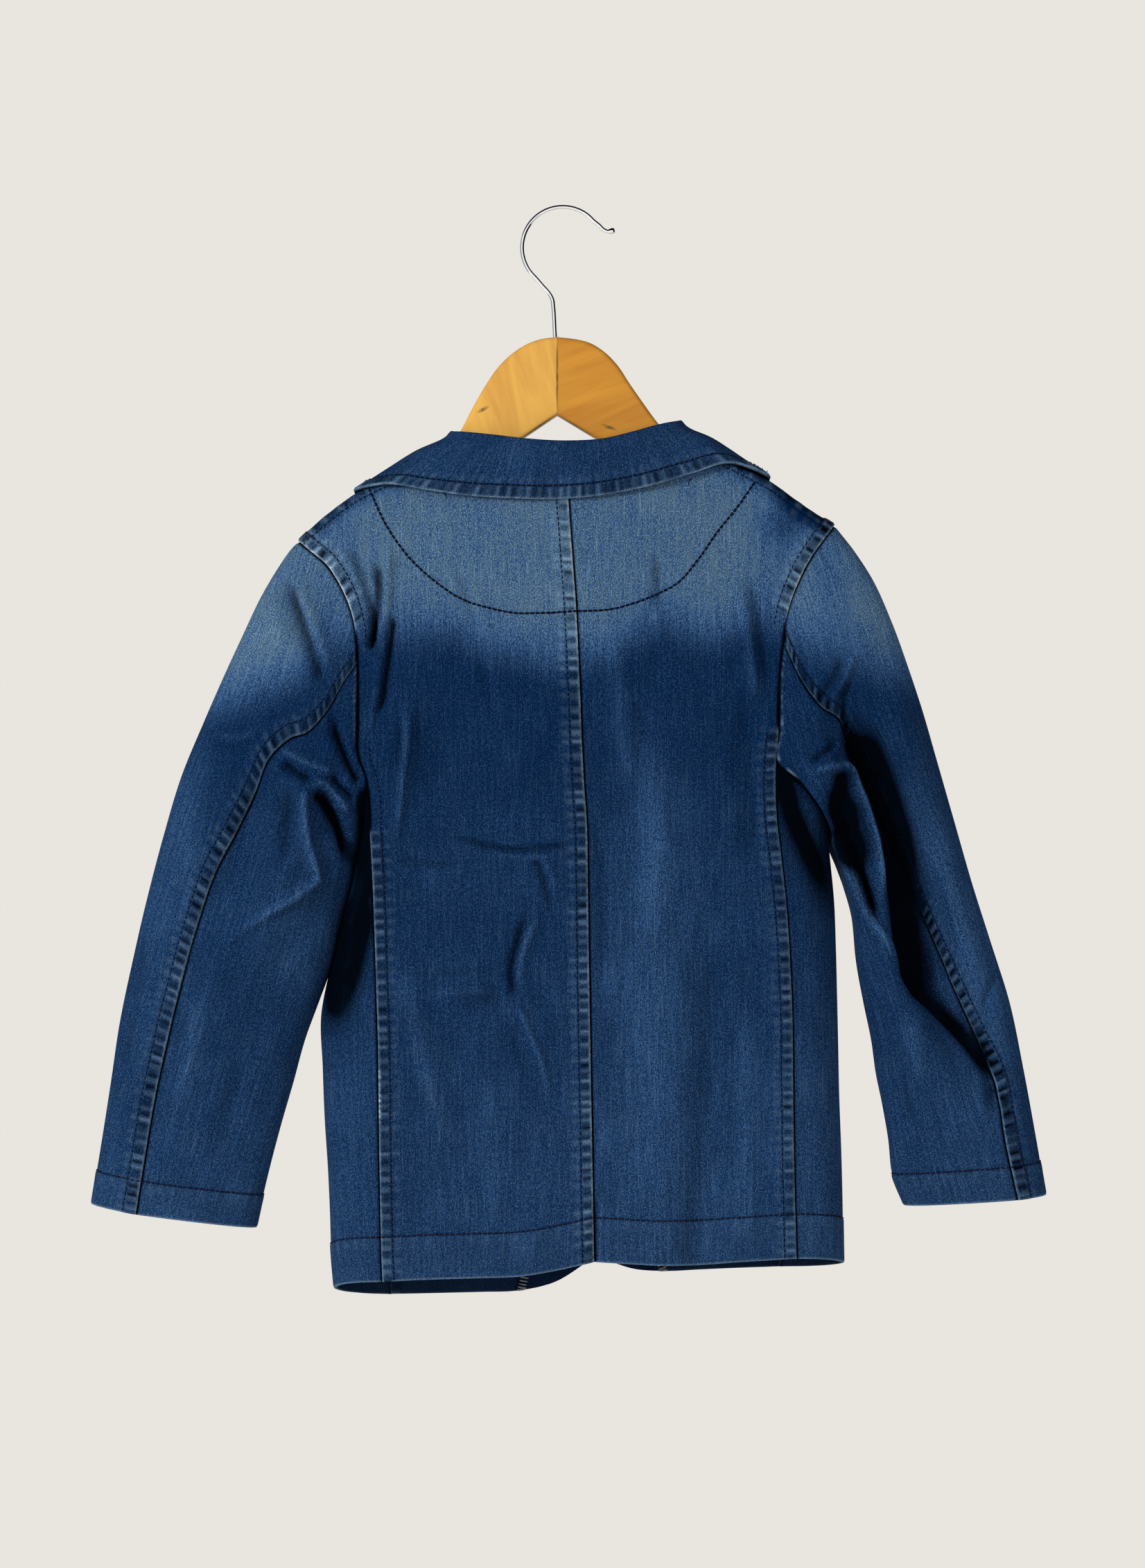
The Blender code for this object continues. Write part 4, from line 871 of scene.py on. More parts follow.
class Cloth:
    """One cut piece: its form refined from a coarse grid, with what the sewing does to it."""

    def __init__(self, name, grid, normals, row_knots, column_knots, rows, columns,
                 thick=CLOTH_WALL - 0.1):
        self.name = name

        def refined(field):
            down = eased(row_knots, [[tuple(item) for item in line] for line in field], rows)
            return eased(column_knots, down.swapaxes(0, 1), columns).swapaxes(0, 1)

        self.base = refined(grid)
        self.normals = refined([[normal_at(normals, point) for point in line] for line in grid])
        self.normals /= np.linalg.norm(self.normals, axis=2, keepdims=True)
        self.x, self.z = self.base[..., 0], self.base[..., 2]
        self.near, self.far = (np.clip(turn * self.normals[..., 1] * 1.6, 0, 1) for turn in (-1, 1))
        across, down = measured(self.base, 1), measured(self.base, 0)
        self.across, self.down = self.grain_u, self.grain_v = across, down
        self.edge = {"left": across, "right": across[:, -1:] - across,
                     "top": down, "bottom": down[-1:] - down}
        self.along = {"left": down[:, :1] + 0 * across, "right": down[:, -1:] + 0 * across,
                      "top": across[:1] + 0 * across, "bottom": across[-1:] + 0 * across}
        self.lift, self.wear, self.dark, self.fade, self.sunk = np.zeros((5,) + across.shape)
        self.inner = np.full(across.shape, thick)

    def cut_along(self, lean, seam_column):
        """Lays the warp straight down the piece: lean is its angle from the vertical.

        Across the piece the measure runs round the cloth, starting from one seam, which is
        the first column or the last one.
        """
        across = self.x * math.cos(lean) + self.z * math.sin(lean)
        self.grain_v = self.z * math.cos(lean) - self.x * math.sin(lean)
        run = np.hypot(np.diff(across, axis=1), np.diff(self.base[..., 1], axis=1))
        run = np.cumsum(np.pad(run, ((0, 0), (1, 0))), axis=1)
        way = np.sign(np.diff(across[:, :2] if seam_column == 0 else across[:, -2:], axis=1))
        from_seam = run - run[:, seam_column][:, None]
        self.grain_u = across[:, seam_column][:, None] + way * from_seam

    def fold(self, creases, face):
        """Ridges are lifted and rubbed paler; troughs sink and are given painted shade."""
        for path, lift, left, right, *fades in creases:
            share = crease(self.x, self.z, path, left, right, *fades) * face
            self.lift += lift * share
            self.fade += RIDGE_FADE * max(lift, 0) * share ** 2
            # Painted shade in the trough, growing faster than its depth
            self.sunk += TROUGH_SHADE * max(-lift, 0) ** 1.5 * share ** 2
        self.lift = np.maximum(self.lift, -DEEPEST)

    def topstitched(self, edge, stitch, pitch, seed, pull=1.0, spans=None, worn=1.0, shade_share=1.0):
        """Seam with its allowances turned under this panel and stitched down.

        Each span is a stretch along the seam; worn is how far the rubbing has brought out
        the weft, and the last argument how much painted shade lies between the puckers.
        """
        away, along = self.edge[edge], self.along[edge]
        here = 1.0 if spans is None else sum(stretch(along, *span) for span in spans)
        raised = soft_step((stitch + 1.6 - away) / 1.8) * (1 - 0.9 * bell(away, 0.55))
        groove = bell(away - stitch, 0.55)
        bumps, gaps = puckers(along, pitch, seed), puckers(along, pitch * 0.8, seed + 500)
        band = soft_step((stitch - 0.3 - away) / 1.5) * soft_step((away - 0.2) / 1.0)
        beyond = bell(away - stitch - 2.6, 2.0)
        self.lift += here * (SEAM_RAISED * raised - SEAM_GROOVE * groove
                             + pull * bumps * (SEAM_PUCKER * band + PUCKER_BEYOND * beyond))
        rolled = bell(away, 0.85) * (0.85 + 0.35 * np.sin(along * 0.9 + np.sin(along * 0.37) * 3))
        self.wear += here * worn * (bumps * (WORN_PUCKER * band + WORN_BEYOND * beyond)
                                    + WORN_EDGE * rolled)
        # Painted shade in the groove under the stitches and between the puckers
        between = (0.32 + 0.6 * gaps) * band * (1 - np.minimum(1, bumps * 1.5))
        self.dark += here * (0.4 * groove + shade_share * between)

    def tucked(self, edge, depth=0.8, span=None):
        """Side of a seam that runs in under its neighbour, with a painted shade line along the seam."""
        away = self.edge[edge]
        here = 1.0 if span is None else stretch(self.along[edge], *span)
        self.lift -= here * depth * bell(away, 1.3)
        # Painted shade where this side runs in under the raised neighbour
        self.dark += here * 1.7 * bell(away, 1.1)

    def rubbed(self, edge, share, seed, span, inset=1.7):
        """Seam edge worn to the weft in small dots, inset from the seam line itself."""
        away, along = self.edge[edge], self.along[edge]
        dots = np.minimum(1, 1.4 * puckers(along, 3.0, seed))
        self.wear += stretch(along, *span, 8) * share * dots * bell(away - inset, 0.85)

    def hemmed(self, depth, seed):
        """Bottom edge turned up and stitched, with painted shade in the groove under the stitches."""
        away, along = self.edge["bottom"], self.along["bottom"]
        raised = soft_step((depth + 1.0 - away) / 1.6)
        groove, rolled = bell(away - depth, 0.6), bell(away, 0.7)
        bumps = puckers(along, 7.0, seed) * bell(away - depth + 3.0, 2.6)
        self.lift += (HEM_RAISED * raised - HEM_GROOVE * groove + HEM_PUCKER * bumps
                      - HEM_ROLL * rolled)
        self.inner += 0.9 * raised
        self.wear += 1.1 * rolled + 0.16 * bumps + 0.02 * raised
        # Painted shade in the groove under the hem stitches
        self.dark += 0.55 * groove

    def made_up(self, wash, slot_name):
        """Closed thin shell of denim: its outside, the inside behind it, and the rim."""
        self.surface = outside = self.base + self.normals * self.lift[..., None]
        rows, columns = self.lift.shape
        inside = outside - self.normals * self.inner[..., None]
        points = np.concatenate((outside.reshape(-1, 3), inside.reshape(-1, 3)))
        index = np.arange(rows * columns).reshape(rows, columns)
        front = np.stack((index[:-1, :-1], index[1:, :-1], index[1:, 1:], index[:-1, 1:]), -1)
        front = front.reshape(-1, 4)
        back = front[:, ::-1] + rows * columns
        rim = np.concatenate((index[0], index[1:, -1], index[-1, -2::-1], index[-2:0:-1, 0]))
        beside = np.roll(rim, -1)
        edge = np.stack((rim, beside, beside + rows * columns, rim + rows * columns), -1)
        faces = np.concatenate((front, back, edge))
        facing = np.cross(outside[1, 0] - outside[0, 0], outside[0, 1] - outside[0, 0])
        if facing @ self.normals[0, 0] < 0:
            faces = faces[:, ::-1]
        data = thin_mesh(self.name, points, faces.tolist())
        layer = data.uv_layers.new(name="cloth")
        loops = np.empty(len(data.loops), np.int32)
        data.loops.foreach_get("vertex_index", loops)
        flat = np.stack((self.grain_u.ravel(), self.grain_v.ravel()), -1) * MM
        layer.data.foreach_set("uv", np.tile(flat, (2, 1))[loops].astype(np.float32).ravel())
        wash = wash + self.fade
        # Painted shade from the troughs and under the arms joins the seams' painted shade as dark, and the
        # rubbing shows less under it
        sunk = np.clip(self.sunk, 0, 1)
        shown = (0.45 + 0.55 * np.clip(wash * 2, 0, 1)) * (1 - 0.9 * sunk)
        wear = np.clip(self.wear, 0, MOST_WEAR) * shown
        for key, values in (("wash", (wash, wash)), ("wear", (wear, wear)),
                            ("dark", (np.clip(self.dark + sunk, 0, 1),) * 2),
                            ("inside", (np.zeros(wash.shape), np.ones(wash.shape)))):
            values = np.ravel(values).astype(np.float32)
            data.attributes.new(key, "FLOAT", "POINT").data.foreach_set("value", values)
        self.piece = add_piece(self.name + "_cloth", data, DENIM, self.name)

    def cut_from(self, width, length, area, support, held="hung"):
        """Takes the flat sheet that the finished piece is cut from and what carries it; none of these is
        used.
        """


# --- backs, side bodies, fronts and sleeves, made up ---
# The ten main panels, sewn together along shared seams. The left back lies over the right one,
# the backs over the side bodies, the body over the sleeves, and each upper sleeve over its under
# piece. The hems are 25 mm deep at the body and 19 mm at the cuffs.

# Mesh spacing for each kind of panel, and near its seams, stitch lines and rims
PITCH = {"back": 1.5, "front": 3.2, "side": 2.2, "top_sleeve": 1.6, "under_sleeve": 1.5}
TOP_PITCH, SEAM_PITCH, RIM_PITCH = 0.3, 0.8, 0.6
TOP_ZONE, SEAM_ZONE, HEAD_ZONE, LINE_ZONE, RIM_ZONE = 1.2, 10, 4.5, 2, 3
SMALLEST_STEP = 0.25        # no two rows or columns are closer
HEM_DEPTH, CUFF_DEPTH = 25.0, 19.0
# Topstitching, by its distance from the seam
SEAM_STITCH, SLEEVE_STITCH, ROLL_LINE_STITCH = 6.5, 7.5, 5.5
SHOULDER_STITCH = 10.5      # along the cloth, which rolls over the hanger here
PUCKERS = 6.4               # distance between two puckers of a well-pulled seam
# Each sleeve seam's pull on its puckers, its rubbing, and the painted shade between its puckers
SLEEVE_SEAM = {"left": {"pull": 1.0, "worn": 0.62, "shade_share": 1.25},
               "right": {"pull": 0.85, "worn": 0.4, "shade_share": 1.5}}
SLEEVE_LEAN = {"left": -math.radians(16), "right": math.radians(16)}    # of the warp
SIDE_SEAM_STARTS = {"left": 44, "right": -6}    # its topstitching, below the underarm
# Flat cut of what shows: width and length in mm, area in square metres, and what it hangs from
PANEL_CUTS = {
    "back_left": (188, 476, 0.0585, "hanger_left_board"),
    "back_right": (186, 474, 0.0536, "hanger_right_board"),
    "front_left": (144, 488, 0.0571, "hanger_left_board"),
    "front_right": (122, 479, 0.0494, "hanger_right_board"),
    "side_left": (90, 288, 0.0202, "back_left_cloth"),
    "side_right": (101, 286, 0.0212, "back_right_cloth"),
    "top_sleeve_left": (187, 396, 0.046, "back_left_cloth"),
    "top_sleeve_right": (186, 399, 0.0417, "back_right_cloth"),
    "under_sleeve_left": (211, 345, 0.0374, "top_sleeve_left_cloth"),
    "under_sleeve_right": (235, 348, 0.0324, "top_sleeve_right_cloth"),
}


def grid_normals(grids):
    """Mean outward normal at each point, shared by the pieces that meet there."""
    sums = {}
    for grid in grids:
        for upper, lower in zip(grid, grid[1:]):
            for a, b, c, d in zip(upper, upper[1:], lower[1:], lower):
                normal = (c - a).cross(b - d).normalized()
                for point in (a, b, c, d):
                    key = tuple(round(v, 2) for v in point)
                    sums[key] = sums.get(key, Vector((0, 0, 0))) + normal
    return {key: value.normalized() for key, value in sums.items()}


def spaced(length, pitch, fine=()):
    """Places from 0 to length; each fine stretch (low, high, pitch) has its own pitch."""
    places, place = [0.0], 0.0
    while place < length - 1e-6:
        closer = [step for low, high, step in fine if low - 1e-6 <= place < high - 1e-6]
        place = min(length, place + min(closer, default=pitch))
        places.append(place)
    if len(places) > 2 and places[-1] - places[-2] < SMALLEST_STEP:
        places.pop(-2)
    return np.array(places)


def row_knots(side):
    """Distance down the panel's side edge for each coarse row."""
    arm = side["shoulder_point"][1] - side["underarm_z"]
    below = side["underarm_z"] - side["side_hem_back"]
    return [arm * step for step in ARMHOLE_STEPS] + [arm + below * step for step in BODY_STEPS]


def mean_knots(grid, axis):
    points = np.array([[tuple(point) for point in line] for line in grid])
    return measured(points, axis).mean(axis=1 - axis)


def edge_of(side, kind, coarse_first):
    """Grid side where a panel's first or last coarse column ended up."""
    return "right" if coarse_first == side["turned"][kind] else "left"


def shoulder_span(back, side):
    """Stretch of the back's top edge that is shoulder seam and not neck, measured along it."""
    neck_at = float(np.interp(side["neck_point"][0], back.x[0], back.across[0]))
    return (-20.0, neck_at) if side is LEFT else (neck_at, back.across[0, -1] + 20.0)


for side in (LEFT, RIGHT):
    back, front = back_panel(side), front_panel(side)
    flank = side_panel(side, back, front)
    rings = sleeve_rings(armhole_loop(back, flank, front), side["sleeve"], side["sleeve_folds"])
    over, under = split_sleeve(rings)
    # The neck seam of this side: the back neck, then down the roll line
    side["neck"] = back[0][:len(NECK_CURVE)] + [line[0] for line in front[1:UNDERARM_STEP]]
    # Columns run so that every grid is wound the same way round, facing out
    mirrored = side is RIGHT
    side["turned"] = {"back": not mirrored, "side": not mirrored, "front": mirrored,
                      "top_sleeve": mirrored, "under_sleeve": mirrored}
    grids = {"back": back, "side": flank, "front": front, "top_sleeve": over, "under_sleeve": under}
    side["grids"] = {kind: [line[::-1] for line in grid] if side["turned"][kind] else grid
                     for kind, grid in grids.items()}
normals = grid_normals([grid for side in (LEFT, RIGHT) for grid in side["grids"].values()])

cloths = {}
for side, seed in ((LEFT, 11), (RIGHT, 31)):    # the seed of its puckers
    name = side["name"]
    rows_at = row_knots(side)
    underarm_at, total = rows_at[UNDERARM_STEP], rows_at[-1]
    hem_line = total - HEM_DEPTH
    rows = spaced(total, PITCH["back"], (
        (0, TOP_ZONE, TOP_PITCH), (TOP_ZONE, SEAM_ZONE, SEAM_PITCH),
        (hem_line - LINE_ZONE, hem_line + LINE_ZONE, SEAM_PITCH), (total - RIM_ZONE, total, RIM_PITCH)))
    for kind, grid in side["grids"].items():
        if kind in ("back", "front"):
            knots, fine = rows_at, rows
        elif kind == "side":
            knots = rows_at[UNDERARM_STEP:]
            fine = np.concatenate(([underarm_at], rows[rows > underarm_at + 0.4]))
        else:
            knots = mean_knots(grid, 0)
            length, cuff_line = knots[-1], knots[-1] - CUFF_DEPTH
            fine = spaced(length, PITCH[kind], (
                (0, HEAD_ZONE, SEAM_PITCH), (cuff_line - LINE_ZONE, cuff_line + LINE_ZONE, SEAM_PITCH),
                (length - RIM_ZONE, length, RIM_PITCH)))
        columns_at = mean_knots(grid, 1)
        width = columns_at[-1]
        columns = spaced(width, PITCH[kind], ((0, SEAM_ZONE, SEAM_PITCH),
                                              (width - SEAM_ZONE, width, SEAM_PITCH)))
        cloths[kind + "_" + name] = Cloth(kind + "_" + name, grid, normals, knots, columns_at,
                                          fine, columns)
    back, flank, front, upper, under = (
        cloths[kind + "_" + name] for kind in ("back", "side", "front", "top_sleeve", "under_sleeve"))
    for cloth in (back, front, flank):
        cloth.cut_along(0.0, 0)
        cloth.fold(BACK_CREASES, cloth.near)
        cloth.fold(FRONT_CREASES, cloth.far)
    for cloth, seam in ((upper, edge_of(side, "top_sleeve", False)),
                        (under, edge_of(side, "under_sleeve", True))):
        cloth.cut_along(SLEEVE_LEAN[name], -1 if seam == "right" else 0)
        cloth.fold(side["sleeve_creases"], cloth.near)
    # Back: centre seam, then armhole and side-back seam down one edge, shoulder and hem.
    # It is plain between the sleeve's back seam and the underarm.
    centre, outer = edge_of(side, "back", True), edge_of(side, "back", False)
    if side is LEFT:
        back.topstitched(centre, SEAM_STITCH, PUCKERS, seed + 1)
    else:
        back.tucked(centre, 0.9)
    seam_at, seam_low = rows_at[SLEEVE_SEAM_STEP], underarm_at + SIDE_SEAM_STARTS[name]
    back.topstitched(outer, SEAM_STITCH, PUCKERS, seed + 2, 1.0, ((-20.0, seam_at + 2),), 1.05, 1.35)
    back.topstitched(outer, SEAM_STITCH, PUCKERS, seed + 2, 0.8, ((seam_low, 1e4),), 0.6)
    back.tucked(outer, 0.7, (seam_at, seam_low + 4))
    if side is LEFT:    # rubbed through to the weft above the hem
        below = underarm_at + side["underarm_z"]
        back.rubbed(outer, 3.6, seed + 12, (below + 500, below + 538), 0.5)
    back.topstitched("top", SHOULDER_STITCH, 9.0, seed + 3, 0.6, (shoulder_span(back, side),), 0.6)
    back.hemmed(HEM_DEPTH, seed + 4)
    for cloth in (flank, under):
        cloth.tucked("left")
        cloth.tucked("right")
    flank.tucked("top")
    flank.hemmed(HEM_DEPTH, seed + 5)
    front.topstitched(edge_of(side, "front", False), SEAM_STITCH, 8.0, seed + 6, 0.8)
    front.topstitched(edge_of(side, "front", True), ROLL_LINE_STITCH, 9.0, seed + 7, 0.5)
    for cloth in (front, upper, under):
        cloth.tucked("top", 0.7)
    front.hemmed(HEM_DEPTH, seed + 8)
    upper.topstitched(edge_of(side, "top_sleeve", False), SLEEVE_STITCH, PUCKERS, seed + 9,
                      **SLEEVE_SEAM[name])
    upper.tucked(edge_of(side, "top_sleeve", True), 0.6)
    upper.hemmed(CUFF_DEPTH, seed + 10)
    under.hemmed(CUFF_DEPTH, seed + 10)
    # Rubbed at the armpit; then painted shade in the folds under the arm
    width = under.across[0, -1]
    worn_at = (-20.0, 50.0) if side is LEFT else (width - 95, width + 20)
    under.rubbed("top", 1.3, seed + 11, worn_at)
    for cloth in (flank, under):
        for path, share, *reaches in UNDERARM_SHADE[cloth.name]:
            cloth.sunk += share * crease(cloth.x, cloth.z, path, *reaches)
        if side is LEFT:
            lift, height, reach = UNDERARM_CLOSING
            sideways = np.clip(np.abs(cloth.normals[..., 0]) * 1.5 - 0.4, 0, 1)
            cloth.lift += lift * bell(cloth.z - height, reach) * sideways
    for cloth in (back, flank, front, upper, under):
        top_z = np.interp(cloth.x, *zip(*RIDGE)) if "sleeve" not in cloth.name else -100.0
        slot_name = "denim_shoulder_faded" if cloth is back else "denim_indigo"
        cloth.made_up(wash_at(cloth.x, cloth.z, top_z), slot_name)
for key, cut in PANEL_CUTS.items():
    cloths[key].cut_from(*cut)


# --- topstitching ---
# Twisted polyester thread, dark indigo along the seams and plum navy at the hems, sewn through
# all the layers in stitches of 3 mm. One heavier line curves across the upper back as a half
# moon. To the eye the thread is dull and a little uneven in tone.

THREAD_TONES = 900.0        # changes of tone in a metre: one each 1.1 mm
STITCH_SHARES = np.array((0.0, 0.22, 0.78, 1.0))
STITCH_SIZES = np.array((0.45, 1.0, 1.0, 0.45))
STITCH_SUNK = -0.32         # ends of a stitch, under the cloth's face
STITCH_ROUND = 5            # points round a stitch
HEM_THREAD_LOOK = {"thick": 0.85, "rise": 0.22}
HALF_MOON = ((-106, -158), (-96, -179), (-84, -196), (-69, -210), (-54, -220), (-39, -225),
             (-24, -228), (-9, -228), (11, -227), (29, -226), (52, -219), (67.5, -211),
             (79.5, -197), (90, -182), (100.5, -169), (111, -154))


def sewing_thread(name, colour):
    made, tree, shader = new_material(name, Roughness=0.6, Specular_IOR_Level=0.06)
    place = node(tree, "TexCoord", out="Object")
    noise = node(tree, "TexNoise", {"Vector": place, "Scale": THREAD_TONES, "Detail": 1.0})
    shade = node(tree, "Math", (noise, 0.7, 0.15), **CLAMPED)
    mixed = node(tree, "Mix", {0: shade, 6: linear("03060f"), 7: linear(colour)}, **COLOURS)
    tree.links.new(mixed, shader.inputs["Base Color"])
    return made


class Stitches:
    """Sewn thread: one joined mesh of short rounded stitches, a little sunk at their ends."""

    def __init__(self, name):
        self.name, self.points, self.faces = name, [], []

    def sew(self, line, facing, length=3.0, gap=0.6, thick=0.6, rise=0.14):
        line, facing = np.asarray(line, float), np.asarray(facing, float)
        keep = np.concatenate(([True], np.linalg.norm(np.diff(line, axis=0), axis=1) > 1e-6))
        line, facing = line[keep], facing[keep]
        reached = run_along(line)
        count = int(reached[-1] // length)
        if count < 1:
            return
        pitch = reached[-1] / count
        places = np.arange(count)[:, None] * pitch + STITCH_SHARES * (pitch - gap)
        middle, outward = (np.stack([np.interp(places, reached, values) for values in field.T], -1)
                           for field in (line, facing))
        outward /= np.linalg.norm(outward, axis=-1, keepdims=True)
        sideways = np.cross(middle[:, -1:] - middle[:, :1], outward)
        sideways /= np.linalg.norm(sideways, axis=-1, keepdims=True)
        middle += outward * np.array((STITCH_SUNK, rise, rise, STITCH_SUNK))[:, None]
        turns = np.arange(STITCH_ROUND)[:, None] * 2 * math.pi / STITCH_ROUND
        ring = (sideways[:, :, None] * np.cos(turns) * thick / 2
                + outward[:, :, None] * np.sin(turns) * thick * 0.42)
        first = sum(len(block) for block in self.points)
        block = middle[:, :, None] + ring * STITCH_SIZES[:, None, None]
        self.points.append(block.reshape(-1, 3))
        for rings in np.arange(first, first + count * 4 * STITCH_ROUND).reshape(count, 4, -1).tolist():
            for near, far in zip(rings, rings[1:]):
                self.faces += zip(near, near[1:] + near[:1], far[1:] + far[:1], far)
            self.faces += [tuple(rings[0][::-1]), tuple(rings[-1])]

    def make(self, finish):
        data = thin_mesh(self.name, np.concatenate(self.points), self.faces)
        return add_piece(self.name, data, finish)


def line_at(cloth, edge, distance, start=0.0, end=0.0):
    """Line on the finished cloth at one distance from an edge; its ends may stop short."""
    away, surface, facing = cloth.edge[edge], cloth.surface, cloth.normals
    if edge in ("top", "bottom"):
        away, surface, facing = away.T, surface.swapaxes(0, 1), facing.swapaxes(0, 1)
    if edge in ("right", "bottom"):
        away, surface, facing = away[:, ::-1], surface[:, ::-1], facing[:, ::-1]
    line, outward = [], []
    for gaps, places, turns in zip(away, surface, facing):
        if gaps[-1] < distance:
            continue
        place = np.interp(distance, gaps, np.arange(len(gaps)))
        low = min(int(place), len(gaps) - 2)
        line.append(mix(places[low], places[low + 1], place - low))
        outward.append(turns[low])
    line, outward = np.array(line), np.array(outward)
    reached = run_along(line)
    keep = (reached >= start) & (reached <= reached[-1] - end)
    return line[keep], outward[keep]


def on_back(path, pitch=1.0):
    """Path of (x, z) laid on the finished back panels."""
    trees = [bvhtree.BVHTree.FromObject(cloths[key].piece, bpy.context.evaluated_depsgraph_get())
             for key in ("back_left", "back_right")]
    reached = run_along(path)
    line, outward = [], []
    for x, z in eased(reached, path, np.arange(0, reached[-1], pitch)):
        for tree in trees:
            hit, facing, _, _ = tree.ray_cast((x * MM, -0.2, z * MM), (0, 1, 0), 0.4)
            if hit is not None and facing.y < 0:
                line.append(tuple(value / MM for value in hit))
                outward.append(tuple(facing))
                break
    return line, outward


SEAM_THREAD = sewing_thread("dark_indigo_thread", "07102a")
HEM_THREAD = sewing_thread("plum_navy_thread", "1a1334")
seams, hems = Stitches("seam_topstitching"), Stitches("hem_stitching")
for side in (LEFT, RIGHT):
    back, flank, front, upper, under = (cloths[kind + "_" + side["name"]] for kind in (
        "back", "side", "front", "top_sleeve", "under_sleeve"))
    if side is LEFT:
        seams.sew(*line_at(back, edge_of(side, "back", True), SEAM_STITCH))
    outer = edge_of(side, "back", False)
    length, rows_at = back.along[outer].max(), row_knots(side)
    seams.sew(*line_at(back, outer, SEAM_STITCH, 0.0, length - rows_at[SLEEVE_SEAM_STEP] - 5))
    seams.sew(*line_at(back, outer, SEAM_STITCH, rows_at[UNDERARM_STEP] + 4))
    low, high = shoulder_span(back, side)
    seams.sew(*line_at(back, "top", SHOULDER_STITCH, max(0.0, low),
                       max(0.0, back.across[0, -1] - high)))
    seams.sew(*line_at(front, edge_of(side, "front", False), SEAM_STITCH))
    seams.sew(*line_at(front, edge_of(side, "front", True), ROLL_LINE_STITCH))
    seams.sew(*line_at(upper, edge_of(side, "top_sleeve", False), SLEEVE_STITCH))
    for cloth in (back, flank, front):
        hems.sew(*line_at(cloth, "bottom", HEM_DEPTH), **HEM_THREAD_LOOK)
    for cloth in (upper, under):
        hems.sew(*line_at(cloth, "bottom", CUFF_DEPTH), **HEM_THREAD_LOOK)
seams.make(SEAM_THREAD)
hems.make(HEM_THREAD)
half_moon = Stitches("half_moon_stitching")
half_moon.sew(*on_back(HALF_MOON), gap=0.1, thick=1.25, rise=0.35)
half_moon.make(SEAM_THREAD)


# --- facings ---
# A strip of the same denim lines each front along its edge. Its free edge is bound with a close
# zigzag of pale overlock thread, which shows inside the left lower corner.

FACING_COLUMNS = 3
FACING_BEHIND = 2.3         # depth from the front's face to the facing's
FACING_THICK = 0.9
OVERLOCK_PITCH, OVERLOCK_WIDE = 1.9, 5.6
FACING_CUTS = {"left": (56, 278, 0.0144), "right": (48, 274, 0.01255)}


def loose_cloth(name, grid, row_pitch, column_pitch, thick, fine=()):
    """Piece that shares no seam points; fine is (reach from the last column, pitch)."""
    rows_at, columns_at = mean_knots(grid, 0), mean_knots(grid, 1)
    width = columns_at[-1]
    columns = spaced(width, column_pitch, [(width - reach, width, step) for reach, step in fine])
    return Cloth(name, grid, grid_normals([grid]), rows_at, columns_at,
                 spaced(rows_at[-1], row_pitch), columns, thick)


overlock = Stitches("facing_overlocking")
for side in (LEFT, RIGHT):
    name = side["name"]
    columns = slice(0, FACING_COLUMNS) if side is LEFT else slice(-FACING_COLUMNS, None)
    grid = [[point - normal_at(normals, point) * FACING_BEHIND for point in line[columns]]
            for line in side["grids"]["front"][UNDERARM_STEP:]]
    cloth = loose_cloth("facing_" + name, grid, 4.0, 4.0, FACING_THICK)
    cloth.made_up(0.0, "denim_indigo")
    cloth.cut_from(*FACING_CUTS[name], "front_" + name + "_cloth")
    free = "right" if side is LEFT else "left"
    edge_line, outward = line_at(cloth, free, 0.2)
    inner_line, _ = line_at(cloth, free, OVERLOCK_WIDE)
    behind = outward * -1.3
    picks = np.linspace(0, len(edge_line) - 1, int(run_along(edge_line)[-1] / OVERLOCK_PITCH))
    index = np.arange(len(edge_line))
    for here, there in zip(picks, picks[1:]):
        thread = [[np.interp(place, index, values) for values in (line + behind).T]
                  for place, line in ((here, edge_line), (there, inner_line))]
        overlock.sew(thread, [-outward[int(here)]] * 2, gap=0.1, thick=0.9, rise=0.15)
overlock.make(sewing_thread("pale_overlock_thread", "a8aaa8"))


# --- lapels ---
# The top of each front, cut in one with it and turned back along the roll line. It lies double
# on the chest, topstitched 6 mm inside its edge.

LAPEL_LIFT, LAPEL_PLY = 2.2, 1.2
LAPEL_SHARES = (0.0, 0.12, 0.3, 0.5, 0.7, 0.86, 1.0)
LAPEL_ACROSS = (0.0, 0.35, 0.7, 1.0)        # from the roll line to the outer edge
LAPEL_STITCH = 6.0
SEAM_GAP = 0.3              # left between neighbouring pieces
DOUBLE_THICK = 1.6          # two plies, for the lapels and the collar
# Roll line ends, point of the notch, flat cut
LAPELS = {
    "left": {"top_z": -178.0, "end_z": -333.0, "point": (-88, -199), "cut": (41, 181, 0.0041)},
    "right": {"top_z": -174.0, "end_z": -305.0, "point": (96, -195), "cut": (37, 139, 0.0028)},
}


def lapel_grid(side, lapel):
    """Revers turned back along the roll line, lying on the front."""
    grid = []
    roll_top = Vector((at(side["front_edge"], lapel["top_z"]), 0, lapel["top_z"]))
    roll_end = Vector((at(side["front_edge"], lapel["end_z"]), 0, lapel["end_z"]))
    point = Vector((lapel["point"][0], 0, lapel["point"][1]))
    for share in LAPEL_SHARES:
        roll = roll_top.lerp(roll_end, share)
        edge = point.lerp(roll_end, share)
        line = []
        for across in LAPEL_ACROSS:
            place = roll.lerp(edge, across)
            turned = min(1.0, across / LAPEL_ACROSS[1])
            lift = mix(LAPEL_LIFT / 2, LAPEL_LIFT + CLOTH_WALL, turned)
            place.y = front_y(place.x, place.z, side) + SEAM_GAP + lift
            line.append(place)
        grid.append(line)
    return grid


